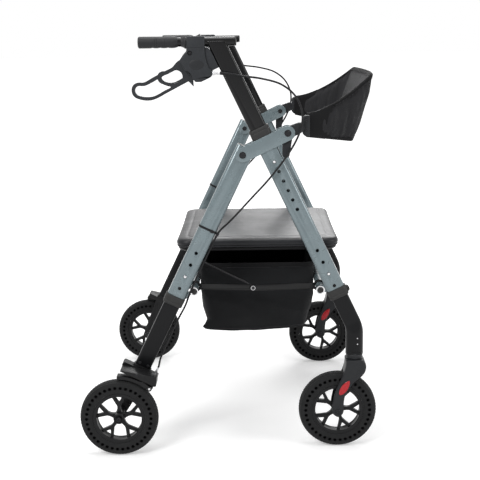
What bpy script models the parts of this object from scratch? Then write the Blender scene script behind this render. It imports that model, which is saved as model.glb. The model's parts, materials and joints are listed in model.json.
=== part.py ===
"""A four-wheeled folding rollator with seat, bag and backrest, as an assembly of separate pieces.

Units are metres, +Z up, +X is the way the walker faces, +Y is the walker's left.
The floor is Z = 0 and X = 0 lies midway between the front and the rear axles.
"""

import math

import bmesh
import bpy
from mathutils import Matrix, Vector
from mathutils.geometry import tessellate_polygon

# Clearances
GAP = 0.0003  # between pieces that touch or run on each other
WELD = 0.0004  # how far welded pieces run into each other

# Wheels
WHEEL_RADIUS = 0.100
TYRE_WIDTH = 0.034
TYRE_DEPTH = 0.033  # from tread to rim seat
TYRE_SHOULDER = 0.009
TREAD_FACETS = 32
RIM_BAND = 0.0085  # thickness of the rim's band under the tyre
SPOKE_WIDTH = 0.0072
SPOKE_THICKNESS = 0.010
SPOKE_COUNT = 5
SPOKE_FORK = 0.032  # radius at which each spoke splits into a Y
SPOKE_SPREAD = math.radians(15.5)
HUB_RADIUS = 0.0135
HUB_LENGTH = 0.034
AXLE_RADIUS = 0.0045

# Stance
WHEELBASE = 0.560
REAR_TRACK = 0.752
FRONT_TRACK = 0.662
CASTER_TRAIL = 0.0428

# Front frame: a tube leaning back, in line with the handle post above and the leg below
FRONT_LEAN = math.radians(25.2)
LEG_BEND_Z = 0.3195  # where the front tube's axis meets the caster's axis
TUBE_WIDTH = 0.046
TUBE_DEPTH = 0.028
TUBE_WALL = 0.0016
TUBE_CORNER = 0.0085
COLLAR_LENGTH = 0.0245
COLLAR_WALL = 0.0028
FRONT_LEG_COLLAR_STATION = 0.089  # along the front tube's axis, up from the bend
HOLE_RADIUS = 0.0043

# Link plates, welded either side of the front tube, that carry the rear tube and the backrest
PLATE_STATION = 0.5204
PLATE_WIDTH = 0.036
PLATE_THICKNESS = 0.0026
PLATE_REAR_REACH = 0.0625
PLATE_FRONT_REACH = 0.0600
PIVOT_RADIUS = 0.004

# Rear frame
REAR_TUBE_ABOVE_PIVOT = 0.020
REAR_TUBE_BELOW_PIVOT = 0.3965
CROSS_TUBE_RADIUS = 0.010
CROSS_TUBE_WALL = 0.0015
CROSS_TUBE_Z = 0.416
CROSS_TUBE_STANDOFF = 0.0155  # from a frame tube's inner edge to the cross tube's axis
SEAT_RAIL_Z = 0.4865
SADDLE_LENGTH = 0.018
SADDLE_THICKNESS = 0.011
CROSS_TUBE_INSET = 0.002  # of its ends from the frame tubes' middle plane

# Sliding members and their snap buttons
HANDLE_HOLE_STATION = 0.4712
HANDLE_HOLE_PITCH = 0.0262
HANDLE_HOLE_COUNT = 6
LEG_HOLE_PITCH = 0.0335
FRONT_LEG_HOLE_STATION = 0.1570
REAR_LEG_HOLE_DISTANCE = 0.3398
LEG_HOLES_ABOVE = 2
LEG_HOLES_BELOW = 1
BUTTON_RADIUS = 0.0036
BUTTON_PROUD = 0.0022
BUTTON_BASE = 0.0016
LEAF_LENGTH = 0.030  # the leaf spring that carries a snap button inside its member
LEAF_WIDTH = 0.007
LEAF_THICKNESS = 0.0008
MEMBER_PAST_BUTTON = 0.026

# Handle
RAIL_Z = 1.037
RAIL_RADIUS = 0.0110
RAIL_WALL = 0.0018
RAIL_FRONT_REACH = 0.04483  # along the rail, all from the post's axis
GRIP_REAR_REACH = 0.18817
GRIP_FRONT_REACH = 0.07197
GRIP_RADIUS = 0.0142
GRIP_END = 0.004

# Brake lever and its housing
HOUSING_DEPTH = 0.040
HOUSING_REAR_REACH = 0.06997
HOUSING_FRONT_REACH = 0.02717
LEVER_PIVOT_REACH = 0.04717
LEVER_PIVOT_DROP = 0.0550  # below the rail's axis
LEVER_REACH = 0.1605  # from its pivot to the loop's rear end
LEVER_DEPTH = 0.013
LEVER_BAR = 0.0078
LEVER_ROOT_RADIUS = 0.0175
LEVER_PIN_RADIUS = 0.003
BARREL_RADIUS = 0.0036
BARREL_LENGTH = 0.0165
BARREL_REACH = 0.0385  # from the lever's pivot forward to the housing's face
BARREL_DROP = 0.0195  # below the lever's pivot
BARREL_SIDE = 0.0163  # outward of the rail, so that the cable clears the post

# Front leg and caster
LEG_BEND_RADIUS = 0.075
FRONT_LEG_BOTTOM_Z = 0.2480
LEG_FOOT_WIDTH = 0.0445
LEG_FOOT_DEPTH = 0.036
BEARING_CUP_HEIGHT = 0.0115
STEM_RADIUS = 0.006
STEM_LENGTH = 0.036
FORK_CLEARANCE = 0.0032
FORK_BLADE = 0.0065
FORK_BEVEL = 0.0035
FORK_END_RADIUS = 0.0150
REFLECTOR_LENGTH = 0.044
REFLECTOR_WIDTH = 0.0145
REFLECTOR_PROUD = 0.0012

# Rear wheel bracket and brake
BRACKET_ABOVE_AXLE = 0.12891  # its top face, along the rear tube's axis
BRACKET_PLATE = 0.013
BRACKET_REAR_REACH = 0.050
BRACKET_FRONT_REACH = 0.047
BRACKET_NOSE = 0.019
ARM_THICKNESS = 0.009
ARM_CLEARANCE = 0.0304  # from the wheel arm to the tyre's inner face
BRACKET_MARGIN = 0.002  # of the plate past the leg and past the arm
STUB_RADIUS = 0.005
SHOE_CLEARANCE = 0.0035
SHOE_THICKNESS = 0.0085
SHOE_WIDTH = 0.026
SHOE_REAR_ANGLE = math.radians(27)
SHOE_FRONT_ANGLE = math.radians(13)
SHOE_PIN_RADIUS = 0.003

# Folding braces between the cross tubes
BRACE_WIDTH = 0.016
BRACE_THICKNESS = 0.0045
BRACE_EYE_RADIUS = 0.0155
BRACE_Y = 0.283  # middle of the front bar; the rear bar lies just inside it
BRACE_KNEE_X = 0.066
BRACE_KNEE_Z = 0.412
KNEE_PIN_RADIUS = 0.0032
KNEE_HEAD_RADIUS = 0.0058
KNEE_HEAD_HEIGHT = 0.0028

# Seat
SEAT_REAR_X = -0.135
SEAT_FRONT_X = 0.292
SEAT_WIDTH = 0.462
SEAT_TOP_Z = 0.533
SEAT_CORNER = 0.035
SEAT_CROWN = 0.0035
PAN_THICKNESS = 0.009
CUSHION_TUCK = 0.004
HINGE_EAR_WIDTH = 0.030
HINGE_EAR_Y = 0.170

# Bag
BAG_WIDTH = 0.440
BAG_TOP_Z = 0.463
BAG_DEPTH = 0.180
BAG_SAG = 0.012
BAG_WALL = 0.0025
BAG_TAPER = 0.016

# Backrest
BAND_THICKNESS = 0.011
BAND_INSET = 0.006  # of its ends from the frame tubes' middle plane
PANEL_HALF_WIDTH = 0.228
BAND_END_X = 0.203
BAND_END_TOP_Z = 0.861
BAND_END_BOTTOM_Z = 0.804
PANEL_TOP_X = 0.372
PANEL_TOP_Z = 0.950
PANEL_BOTTOM_X = 0.322
PANEL_BOTTOM_Z = 0.782
PANEL_BOW = 0.012
BACKREST_ARM_DEPTH = 0.0185

# Brake cable
CABLE_RADIUS = 0.0025
CABLE_POINTS = 72
CABLE_LOOP = 0.180  # how far its free loop reaches forward of a line from the barrel to the pivot
CABLE_STANDOFF = 0.004  # from the link plates and the rear tube
CABLE_BESIDE = 0.006  # outward of the rear tube's middle plane, along its front edge
CABLE_END_SHARE = 0.386  # where it ends, across the bracket's nose

# Places and sections worked out from the sizes above
UP, RIGHT = Vector((0, 0, 1)), Vector((0, -1, 0))
FRAME_Y = FRONT_TRACK / 2
REAR_WHEEL_Y = REAR_TRACK / 2
REAR_AXLE = Vector((-WHEELBASE / 2, 0, WHEEL_RADIUS))
FRONT_AXLE = Vector((WHEELBASE / 2, 0, WHEEL_RADIUS))
CASTER_X = WHEELBASE / 2 + CASTER_TRAIL
BEND = Vector((CASTER_X, 0, LEG_BEND_Z))
FRONT_UP = Vector((-math.sin(FRONT_LEAN), 0, math.cos(FRONT_LEAN)))
FRONT_ACROSS = Vector((math.cos(FRONT_LEAN), 0, math.sin(FRONT_LEAN)))
PIVOT = BEND + FRONT_UP * PLATE_STATION - FRONT_ACROSS * PLATE_REAR_REACH
BACKREST_PIVOT = BEND + FRONT_UP * PLATE_STATION + FRONT_ACROSS * PLATE_FRONT_REACH
REAR_DOWN = (REAR_AXLE - PIVOT).normalized()
REAR_ACROSS = Vector((-REAR_DOWN.z, 0, REAR_DOWN.x))
REAR_WHEEL_DISTANCE = (REAR_AXLE - PIVOT).length  # down the rear tube's axis from the pivot
BRACKET_DISTANCE = REAR_WHEEL_DISTANCE - BRACKET_ABOVE_AXLE
FRONT_TUBE_STATION = FRONT_LEG_COLLAR_STATION + COLLAR_LENGTH + GAP
FRONT_TUBE_TOP = PLATE_STATION + PLATE_WIDTH / 2
MEMBER_WIDTH = TUBE_WIDTH - 2 * (TUBE_WALL + GAP)
MEMBER_DEPTH = TUBE_DEPTH - 2 * (TUBE_WALL + GAP)
MEMBER_CORNER = TUBE_CORNER - TUBE_WALL - GAP
REAR_TUBE_DEPTH = TUBE_DEPTH - 2 * (WELD + GAP)
REAR_MEMBER_DEPTH = REAR_TUBE_DEPTH - 2 * (TUBE_WALL + GAP)
RIM_RADIUS = WHEEL_RADIUS - TYRE_DEPTH - GAP
RIM_OPENING = RIM_RADIUS - RIM_BAND
FACET_PHASE = math.pi / TREAD_FACETS
FLAT_SHARE = math.cos(FACET_PHASE)  # of a facet's middle radius in its corner radius
POST_X = BEND.x - (RAIL_Z - BEND.z) * math.tan(FRONT_LEAN)  # the post's axis, level with the rail
RAIL_FRONT_X = POST_X + RAIL_FRONT_REACH
GRIP_REAR_X = POST_X - GRIP_REAR_REACH
GRIP_FRONT_X = POST_X - GRIP_FRONT_REACH
HOUSING_REAR_X = POST_X - HOUSING_REAR_REACH
HOUSING_FRONT_X = POST_X - HOUSING_FRONT_REACH
LEVER_PIVOT_X = POST_X - LEVER_PIVOT_REACH
LEVER_PIVOT_Z = RAIL_Z - LEVER_PIVOT_DROP
BAND_HALF_WIDTH = FRAME_Y - BAND_INSET


def clear_scene():
    for obj in list(bpy.data.objects):
        bpy.data.objects.remove(obj, do_unlink=True)


def material(name, colour, roughness, metallic=0.0):
    found = bpy.data.materials.get(name) or bpy.data.materials.new(name)
    found.use_nodes = True
    shader = found.node_tree.nodes["Principled BSDF"]
    shader.inputs["Base Color"].default_value = (*colour, 1)
    shader.inputs["Roughness"].default_value = roughness
    shader.inputs["Metallic"].default_value = metallic
    found.diffuse_color = (*colour, 1)
    return found


FINISHES = {
    "frame_paint": ((0.20, 0.27, 0.29), 0.30, 0.6),
    "gloss_black": ((0.012, 0.012, 0.012), 0.22, 0.3),
    "satin_black": ((0.020, 0.021, 0.023), 0.40, 0.2),
    "black_steel": ((0.015, 0.015, 0.016), 0.45, 0.8),
    "grey_plastic": ((0.060, 0.063, 0.068), 0.50, 0.0),
    "grip_rubber": ((0.045, 0.046, 0.048), 0.70, 0.0),
    "tyre_rubber": ((0.028, 0.029, 0.030), 0.80, 0.0),
    "rim_plastic": ((0.022, 0.023, 0.024), 0.50, 0.0),
    "reflector_red": ((0.55, 0.010, 0.022), 0.25, 0.0),
    "steel": ((0.62, 0.62, 0.62), 0.25, 1.0),
    "vinyl": ((0.022, 0.024, 0.028), 0.45, 0.0),
    "bag_cloth": ((0.016, 0.017, 0.018), 0.85, 0.0),
    "band_cloth": ((0.040, 0.040, 0.043), 0.85, 0.0),
    "cable_black": ((0.012, 0.012, 0.013), 0.45, 0.0),
}


def object_from(mesh_data, name, finish="grey_plastic"):
    """Makes the bmesh an object with its normals facing out and round parts shaded smooth."""
    bmesh.ops.remove_doubles(mesh_data, verts=mesh_data.verts, dist=1e-6)
    bmesh.ops.recalc_face_normals(mesh_data, faces=mesh_data.faces)
    mesh = bpy.data.meshes.new(name)
    mesh_data.to_mesh(mesh)
    mesh_data.free()
    obj = bpy.data.objects.new(name, mesh)
    bpy.context.scene.collection.objects.link(obj)
    mesh.shade_smooth()
    mesh.set_sharp_from_angle(angle=math.radians(35))
    mesh.materials.append(material(finish, *FINISHES[finish]))
    return obj


def boolean(target, tool, operation):
    """Applies one exact Boolean and removes the tool."""
    modifier = target.modifiers.new(operation.lower(), "BOOLEAN")
    modifier.operation, modifier.solver, modifier.object = operation, "EXACT", tool
    depsgraph = bpy.context.evaluated_depsgraph_get()
    old = target.data
    target.data = bpy.data.meshes.new_from_object(target.evaluated_get(depsgraph))
    target.modifiers.clear()
    target.data.set_sharp_from_angle(angle=math.radians(35))
    bpy.data.meshes.remove(old)
    bpy.data.objects.remove(tool, do_unlink=True)
    return target


def join(target, *tools):
    for tool in tools:
        boolean(target, tool, "UNION")
    return target


def cut(target, *tools):
    for tool in tools:
        boolean(target, tool, "DIFFERENCE")
    return target


def extruded(name, outline, low, high, place, holes=(), finish="grey_plastic"):
    """A plate: the outline and its holes in a plane, drawn between two heights along its normal.

    place turns (across, up, height) into a world point.
    """
    loops = [[Vector((u, v, 0)) for u, v in loop] for loop in (outline, *holes)]
    flat = [point for loop in loops for point in loop]
    data = bmesh.new()
    ends = [[data.verts.new(place(p.x, p.y, height)) for p in flat] for height in (low, high)]
    for triangle in tessellate_polygon(loops):
        data.faces.new([ends[0][i] for i in triangle])
        data.faces.new([ends[1][i] for i in reversed(triangle)])
    start = 0
    for loop in loops:
        count = len(loop)
        for i in range(count):
            a, b = start + i, start + (i + 1) % count
            data.faces.new([ends[0][a], ends[0][b], ends[1][b], ends[1][a]])
        start += count
    return object_from(data, name, finish)


def lofted(name, sections, finish="grey_plastic", closed=False):
    """A skin over rings of points, capped at both ends unless the rings close on themselves."""
    data = bmesh.new()
    rings = [[data.verts.new(point) for point in ring] for ring in sections]
    pairs = list(zip(rings, rings[1:]))
    if closed:
        pairs.append((rings[-1], rings[0]))
    for first, second in pairs:
        for i in range(len(first)):
            j = (i + 1) % len(first)
            data.faces.new([first[i], first[j], second[j], second[i]])
    if not closed:
        data.faces.new(rings[0][::-1])
        data.faces.new(rings[-1])
    return object_from(data, name, finish)


def turned(name, profile, centre, axis, steps=24, finish="grey_plastic", phase=0.0):
    """A solid of revolution. profile is a closed list of (radius, distance along the axis)."""
    axis = Vector(axis).normalized()
    side = axis.orthogonal().normalized()
    other = axis.cross(side)
    data = bmesh.new()
    rings = []
    for radius, along in profile:
        middle = Vector(centre) + axis * along
        if radius < 1e-6:
            rings.append([data.verts.new(middle)] * steps)
            continue
        turns = [phase + 2 * math.pi * i / steps for i in range(steps)]
        spokes = [side * math.cos(t) + other * math.sin(t) for t in turns]
        rings.append([data.verts.new(middle + spoke * radius) for spoke in spokes])
    count = len(rings)
    for k in range(count):
        first, second = rings[k], rings[(k + 1) % count]
        if first[0] is first[1] and second[0] is second[1]:
            continue
        for i in range(steps):
            j = (i + 1) % steps
            corners = [first[i], first[j], second[j], second[i]]
            data.faces.new(list(dict.fromkeys(corners)))
    return object_from(data, name, finish)


def rod(name, start, end, radius, steps=16, finish="grey_plastic"):
    length = (Vector(end) - Vector(start)).length
    profile = [(0, 0), (radius, 0), (radius, length), (0, length)]
    return turned(name, profile, start, Vector(end) - Vector(start), steps, finish)


def round_rectangle(width, depth, corner, steps=3):
    """An outline centred on the origin, its corners as arcs."""
    points = []
    centres = ((1, 1), (-1, 1), (-1, -1), (1, -1))
    for quarter, (sx, sy) in enumerate(centres):
        middle = (sx * (width / 2 - corner), sy * (depth / 2 - corner))
        for i in range(steps + 1):
            turn = math.pi / 2 * (quarter + i / steps)
            arc = (corner * math.cos(turn), corner * math.sin(turn))
            points.append((middle[0] + arc[0], middle[1] + arc[1]))
    return points


def around(centre, radius, start, end, steps):
    """Points on an arc, from one angle to another in radians."""
    turns = [start + (end - start) * i / steps for i in range(steps + 1)]
    return [(centre[0] + radius * math.cos(t), centre[1] + radius * math.sin(t)) for t in turns]


def link_outline(first, first_radius, second, second_radius, steps=8):
    """The outline of two discs and the straight tangents between them."""
    delta = Vector(second) - Vector(first)
    heading = math.atan2(delta.y, delta.x)
    swing = math.acos((first_radius - second_radius) / delta.length)
    far = around(second, second_radius, heading - swing, heading + swing, steps)
    near = around(first, first_radius, heading + swing, heading + 2 * math.pi - swing, steps)
    return far + near


def smooth_through(points, count):
    """Points spread evenly along a centripetal curve through the given ones."""
    knots = [Vector(p) for p in points]
    knots = [2 * knots[0] - knots[1], *knots, 2 * knots[-1] - knots[-2]]
    dense = []
    for a, b, c, d in zip(knots, knots[1:], knots[2:], knots[3:]):
        t = [0.0]
        for p, q in ((a, b), (b, c), (c, d)):
            t.append(t[-1] + max((q - p).length, 1e-9) ** 0.5)
        for i in range(24):
            s = t[1] + (t[2] - t[1]) * i / 24
            ab = a.lerp(b, (s - t[0]) / (t[1] - t[0]))
            bc = b.lerp(c, (s - t[1]) / (t[2] - t[1]))
            cd = c.lerp(d, (s - t[2]) / (t[3] - t[2]))
            abc = ab.lerp(bc, (s - t[0]) / (t[2] - t[0]))
            bcd = bc.lerp(cd, (s - t[1]) / (t[3] - t[1]))
            dense.append(abc.lerp(bcd, (s - t[1]) / (t[2] - t[1])))
    dense.append(knots[-2])
    walked = [0.0]
    for p, q in zip(dense, dense[1:]):
        walked.append(walked[-1] + (q - p).length)
    result, k = [], 0
    for i in range(count):
        goal = walked[-1] * i / (count - 1)
        while k < len(dense) - 2 and walked[k + 1] < goal:
            k += 1
        share = (goal - walked[k]) / (walked[k + 1] - walked[k])
        result.append(dense[k].lerp(dense[k + 1], share))
    return result


def mirrored(obj, name):
    """The same piece on the walker's other side, across the plane Y = 0."""
    data = bmesh.new()
    data.from_mesh(obj.data)
    bmesh.ops.scale(data, vec=(1, -1, 1), verts=data.verts)
    bmesh.ops.reverse_faces(data, faces=data.faces)
    mesh = bpy.data.meshes.new(name)
    data.to_mesh(mesh)
    data.free()
    twin = bpy.data.objects.new(name, mesh)
    bpy.context.scene.collection.objects.link(twin)
    for slot in obj.data.materials:
        mesh.materials.append(slot)
    return twin


def pair(obj):
    """Names the right-hand piece and adds its left-hand twin."""
    base = obj.name
    obj.name = base + "_r"
    return obj, mirrored(obj, base + "_l")


def front_point(station, across, side):
    """A point of the right front frame: up the tube's axis from the bend, across it, outward."""
    middle = BEND + FRONT_UP * station + FRONT_ACROSS * across
    return middle + RIGHT * (FRAME_Y + side)


def rear_point(distance, across, side):
    """A point of the right rear frame: down the tube's axis from the pivot, across it, outward."""
    middle = PIVOT + REAR_DOWN * distance + REAR_ACROSS * across
    return middle + RIGHT * (FRAME_Y + side)


def upright(u, v, w):
    """A point of an outline drawn in the XZ plane, at a distance along Y."""
    return Vector((u, w, v))


def about_pivot(points, unit=LEVER_REACH):
    """Points given from the lever's pivot, in shares of a length."""
    return [(LEVER_PIVOT_X + u * unit, LEVER_PIVOT_Z + v * unit) for u, v in points]


def hollow_member(name, point, start, end, width, depth, corner, wall, finish):
    """A rounded rectangular tube, open at both ends, along a frame tube's axis."""
    outside = round_rectangle(width, depth, corner)
    inside = round_rectangle(width - 2 * wall, depth - 2 * wall, max(corner - wall, wall))
    rings = []
    data = bmesh.new()
    for outline in (outside, inside):
        for at in (start, end):
            rings.append([data.verts.new(point(at, u, v)) for u, v in outline])
    bands = ((rings[0], rings[1]), (rings[3], rings[2]))
    for first, second in bands:
        for i in range(len(first)):
            j = (i + 1) % len(first)
            data.faces.new([first[i], first[j], second[j], second[i]])
    for outer, inner, shape in ((rings[0], rings[2], 0), (rings[1], rings[3], 1)):
        loops = [[Vector((u, v, 0)) for u, v in loop] for loop in (outside, inside)]
        rim = outer + inner
        for triangle in tessellate_polygon(loops):
            order = triangle if shape else tuple(reversed(triangle))
            data.faces.new([rim[i] for i in order])
    return object_from(data, name, finish)


def drill(obj, point, stations, radius, low, high, steps=8):
    """Round holes across a tube, each from one side distance to another."""
    for station in stations:
        tool = rod("drill", point(station, 0, low), point(station, 0, high), radius, steps)
        cut(obj, tool)
    return obj


def front_frame():
    """Front tube with its welded link plates and the two pivot pins they carry."""
    top = FRONT_TUBE_TOP
    frame = hollow_member(
        "front_frame", front_point, FRONT_TUBE_STATION, top,
        TUBE_WIDTH, TUBE_DEPTH, TUBE_CORNER, TUBE_WALL, "frame_paint",
    )
    plate = link_outline(
        (PLATE_STATION, -PLATE_REAR_REACH), PLATE_WIDTH / 2,
        (PLATE_STATION, PLATE_FRONT_REACH), PLATE_WIDTH / 2, 10,
    )
    inner = TUBE_DEPTH / 2 - WELD
    outer = inner + PLATE_THICKNESS
    for low, high in ((inner, outer), (-outer, -inner)):
        join(frame, extruded("plate", plate, low, high, front_point))
    for across in (-PLATE_REAR_REACH, PLATE_FRONT_REACH):
        start = front_point(PLATE_STATION, across, -outer + WELD)
        end = front_point(PLATE_STATION, across, outer - WELD)
        join(frame, rod("pin", start, end, PIVOT_RADIUS, 12))
    wall = TUBE_DEPTH / 2 - 2 * TUBE_WALL
    handle_holes = [HANDLE_HOLE_STATION - i * HANDLE_HOLE_PITCH for i in range(HANDLE_HOLE_COUNT)]
    drill(frame, front_point, handle_holes + leg_holes(FRONT_LEG_HOLE_STATION, 1),
          HOLE_RADIUS, wall, TUBE_DEPTH)
    return pair(frame)


def leg_holes(first, up):
    """Stations of the leg holes; up is 1 where stations count upward and -1 where down."""
    rows = range(-LEG_HOLES_BELOW, LEG_HOLES_ABOVE + 1)
    return [first + up * i * LEG_HOLE_PITCH for i in rows]


def rear_tube():
    tube = hollow_member(
        "rear_tube", rear_point, -REAR_TUBE_ABOVE_PIVOT, REAR_TUBE_BELOW_PIVOT,
        TUBE_WIDTH, REAR_TUBE_DEPTH, TUBE_CORNER, TUBE_WALL, "frame_paint",
    )
    drill(tube, rear_point, [0], PIVOT_RADIUS + GAP, -TUBE_DEPTH, TUBE_DEPTH, 12)
    wall = REAR_TUBE_DEPTH / 2 - 2 * TUBE_WALL
    holes = leg_holes(REAR_LEG_HOLE_DISTANCE, -1)
    drill(tube, rear_point, holes, HOLE_RADIUS, wall, TUBE_DEPTH)
    return pair(tube)


def collar(name, point, start, length, depth):
    """A moulded guide that closes a tube's end round the member that slides in it."""
    bore = round_rectangle(MEMBER_WIDTH + 2 * GAP, depth + 2 * GAP, MEMBER_CORNER + GAP)
    width = TUBE_WIDTH + 2 * COLLAR_WALL
    outer_depth = depth + 2 * (TUBE_WALL + GAP + COLLAR_WALL)
    outer = round_rectangle(width, outer_depth, TUBE_CORNER + COLLAR_WALL)
    levels = ((outer, 0), (outer, length), (bore, length), (bore, 0))
    sections = [[point(start + at, u, v) for u, v in outline] for outline, at in levels]
    return pair(lofted(name, sections, "grey_plastic", closed=True))


def handle_collar():
    return collar("handle_collar", front_point, FRONT_TUBE_TOP + GAP, COLLAR_LENGTH, MEMBER_DEPTH)


def front_leg_collar():
    start = FRONT_LEG_COLLAR_STATION
    return collar("front_leg_collar", front_point, start, COLLAR_LENGTH, MEMBER_DEPTH)


def rear_leg_collar():
    start = REAR_TUBE_BELOW_PIVOT + GAP
    return collar("rear_leg_collar", rear_point, start, COLLAR_LENGTH, REAR_MEMBER_DEPTH)


def cross_tube(name, x, z, reach, finish="frame_paint"):
    """A round tube from side to side, open at its ends."""
    inner = CROSS_TUBE_RADIUS - CROSS_TUBE_WALL
    profile = [(CROSS_TUBE_RADIUS, -reach), (CROSS_TUBE_RADIUS, reach), (inner, reach), (inner, -reach)]
    return turned(name, profile, (x, 0, z), (0, 1, 0), 16, finish)


def frame_tube_x(z, front):
    """X of a frame tube's axis at a height."""
    if front:
        return BEND.x + FRONT_UP.x * (z - BEND.z) / FRONT_UP.z
    return PIVOT.x + REAR_DOWN.x * (z - PIVOT.z) / REAR_DOWN.z


def tube_edge_offset(front):
    """Half the level width of a leaning frame tube."""
    lean = FRONT_UP.z if front else -REAR_DOWN.z
    return TUBE_WIDTH / 2 / lean


def cross_tube_x(front):
    side = -1 if front else 1
    return frame_tube_x(CROSS_TUBE_Z, front) + side * (tube_edge_offset(front) + CROSS_TUBE_STANDOFF)


def saddled_cross_tube(name, front):
    """A cross tube with a saddle at each end that meets the frame tube's inner edge."""
    x = cross_tube_x(front)
    reach = FRAME_Y - CROSS_TUBE_INSET
    tube = cross_tube(name, x, CROSS_TUBE_Z, reach)
    up, across, origin = (FRONT_UP, FRONT_ACROSS, BEND) if front else (-REAR_DOWN, -REAR_ACROSS, PIVOT)
    tube_end = FRONT_TUBE_STATION if front else -REAR_TUBE_BELOW_PIVOT
    middle = Vector((x, 0, CROSS_TUBE_Z))
    edge = (origin - middle).dot(across) - TUBE_WIDTH / 2 - GAP
    low = tube_end + GAP - (middle - origin).dot(up)
    high = low + SADDLE_LENGTH
    ring = CROSS_TUBE_RADIUS - WELD
    back = -0.6 * ring
    outline = ((back, -ring), (edge - COLLAR_WALL - GAP, low), (edge, low), (edge, high), (back, ring))
    place = lambda u, v, y: middle + across * u + up * v + Vector((0, y, 0))
    for side in (-1, 1):
        near, far = sorted((side * reach, side * (reach - SADDLE_THICKNESS)))
        saddle = extruded("saddle", outline, near, far, place)
        bore = rod("bore", place(0, 0, near - 0.01), place(0, 0, far + 0.01),
                   CROSS_TUBE_RADIUS - CROSS_TUBE_WALL / 2, 16)
        join(tube, cut(saddle, bore))
    return tube


def seat_rail(name, front):
    x = frame_tube_x(SEAT_RAIL_Z, front)
    depth = TUBE_DEPTH if front else REAR_TUBE_DEPTH
    return cross_tube(name, x, SEAT_RAIL_Z, FRAME_Y - depth / 2 - GAP)


def handle_post():
    """The sliding post with the handle rail welded across its top."""
    bottom = HANDLE_HOLE_STATION - MEMBER_PAST_BUTTON
    top = (RAIL_Z - BEND.z) / FRONT_UP.z + MEMBER_WIDTH
    post = hollow_member(
        "handle_post", front_point, bottom, top,
        MEMBER_WIDTH, MEMBER_DEPTH, MEMBER_CORNER, TUBE_WALL, "gloss_black",
    )
    size = 2 * MEMBER_WIDTH
    above = [Vector((x, -FRAME_Y + y, RAIL_Z + z)) for x, y, z in
             ((-size, -size, 0), (size, -size, 0), (size, size, 0), (-size, size, 0))]
    shift = Vector((frame_tube_x(RAIL_Z, True), 0, 0))
    box = lofted("above", [[p + shift for p in above], [p + shift + UP * size for p in above]])
    cut(post, box)
    rear = GRIP_REAR_X + GRIP_END + GAP
    inner = RAIL_RADIUS - RAIL_WALL
    length = RAIL_FRONT_X - rear
    solid = [(0, 0), (RAIL_RADIUS, 0), (RAIL_RADIUS, length - 0.0015),
             (RAIL_RADIUS - 0.0015, length), (0, length)]
    rail = turned("rail", solid, (rear, -FRAME_Y, RAIL_Z), (1, 0, 0), 16, "gloss_black")
    join(post, rail)
    bore = rod("bore", (rear - 0.01, -FRAME_Y, RAIL_Z), (RAIL_FRONT_X - 0.004, -FRAME_Y, RAIL_Z), inner, 12)
    cut(post, bore)
    wall = MEMBER_DEPTH / 2 - 2 * TUBE_WALL
    drill(post, front_point, [HANDLE_HOLE_STATION], BUTTON_RADIUS + GAP, wall, TUBE_DEPTH)
    return pair(post)


def grip():
    """A moulded grip: straight body with finger grooves, a waist and a flange at the front."""
    length = GRIP_FRONT_X - GRIP_REAR_X
    r = GRIP_RADIUS
    outside = [(0, 0), (r - 0.003, 0), (r, 0.003)]
    for i in range(3):
        at = length * (0.24 + 0.15 * i)
        outside += [(r, at - 0.005), (r - 0.0011, at), (r, at + 0.005)]
    outside += [(r, length * 0.72), (r - 0.0028, length * 0.84), (r - 0.0018, length * 0.94),
                (r + 0.0022, length - 0.003), (r + 0.0022, length)]
    bore = RAIL_RADIUS + GAP
    profile = outside + [(bore, length), (bore, GRIP_END), (0, GRIP_END)]
    obj = turned("grip", profile, (GRIP_REAR_X, -FRAME_Y, RAIL_Z), (1, 0, 0), 14, "grip_rubber")
    return pair(obj)


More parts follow.
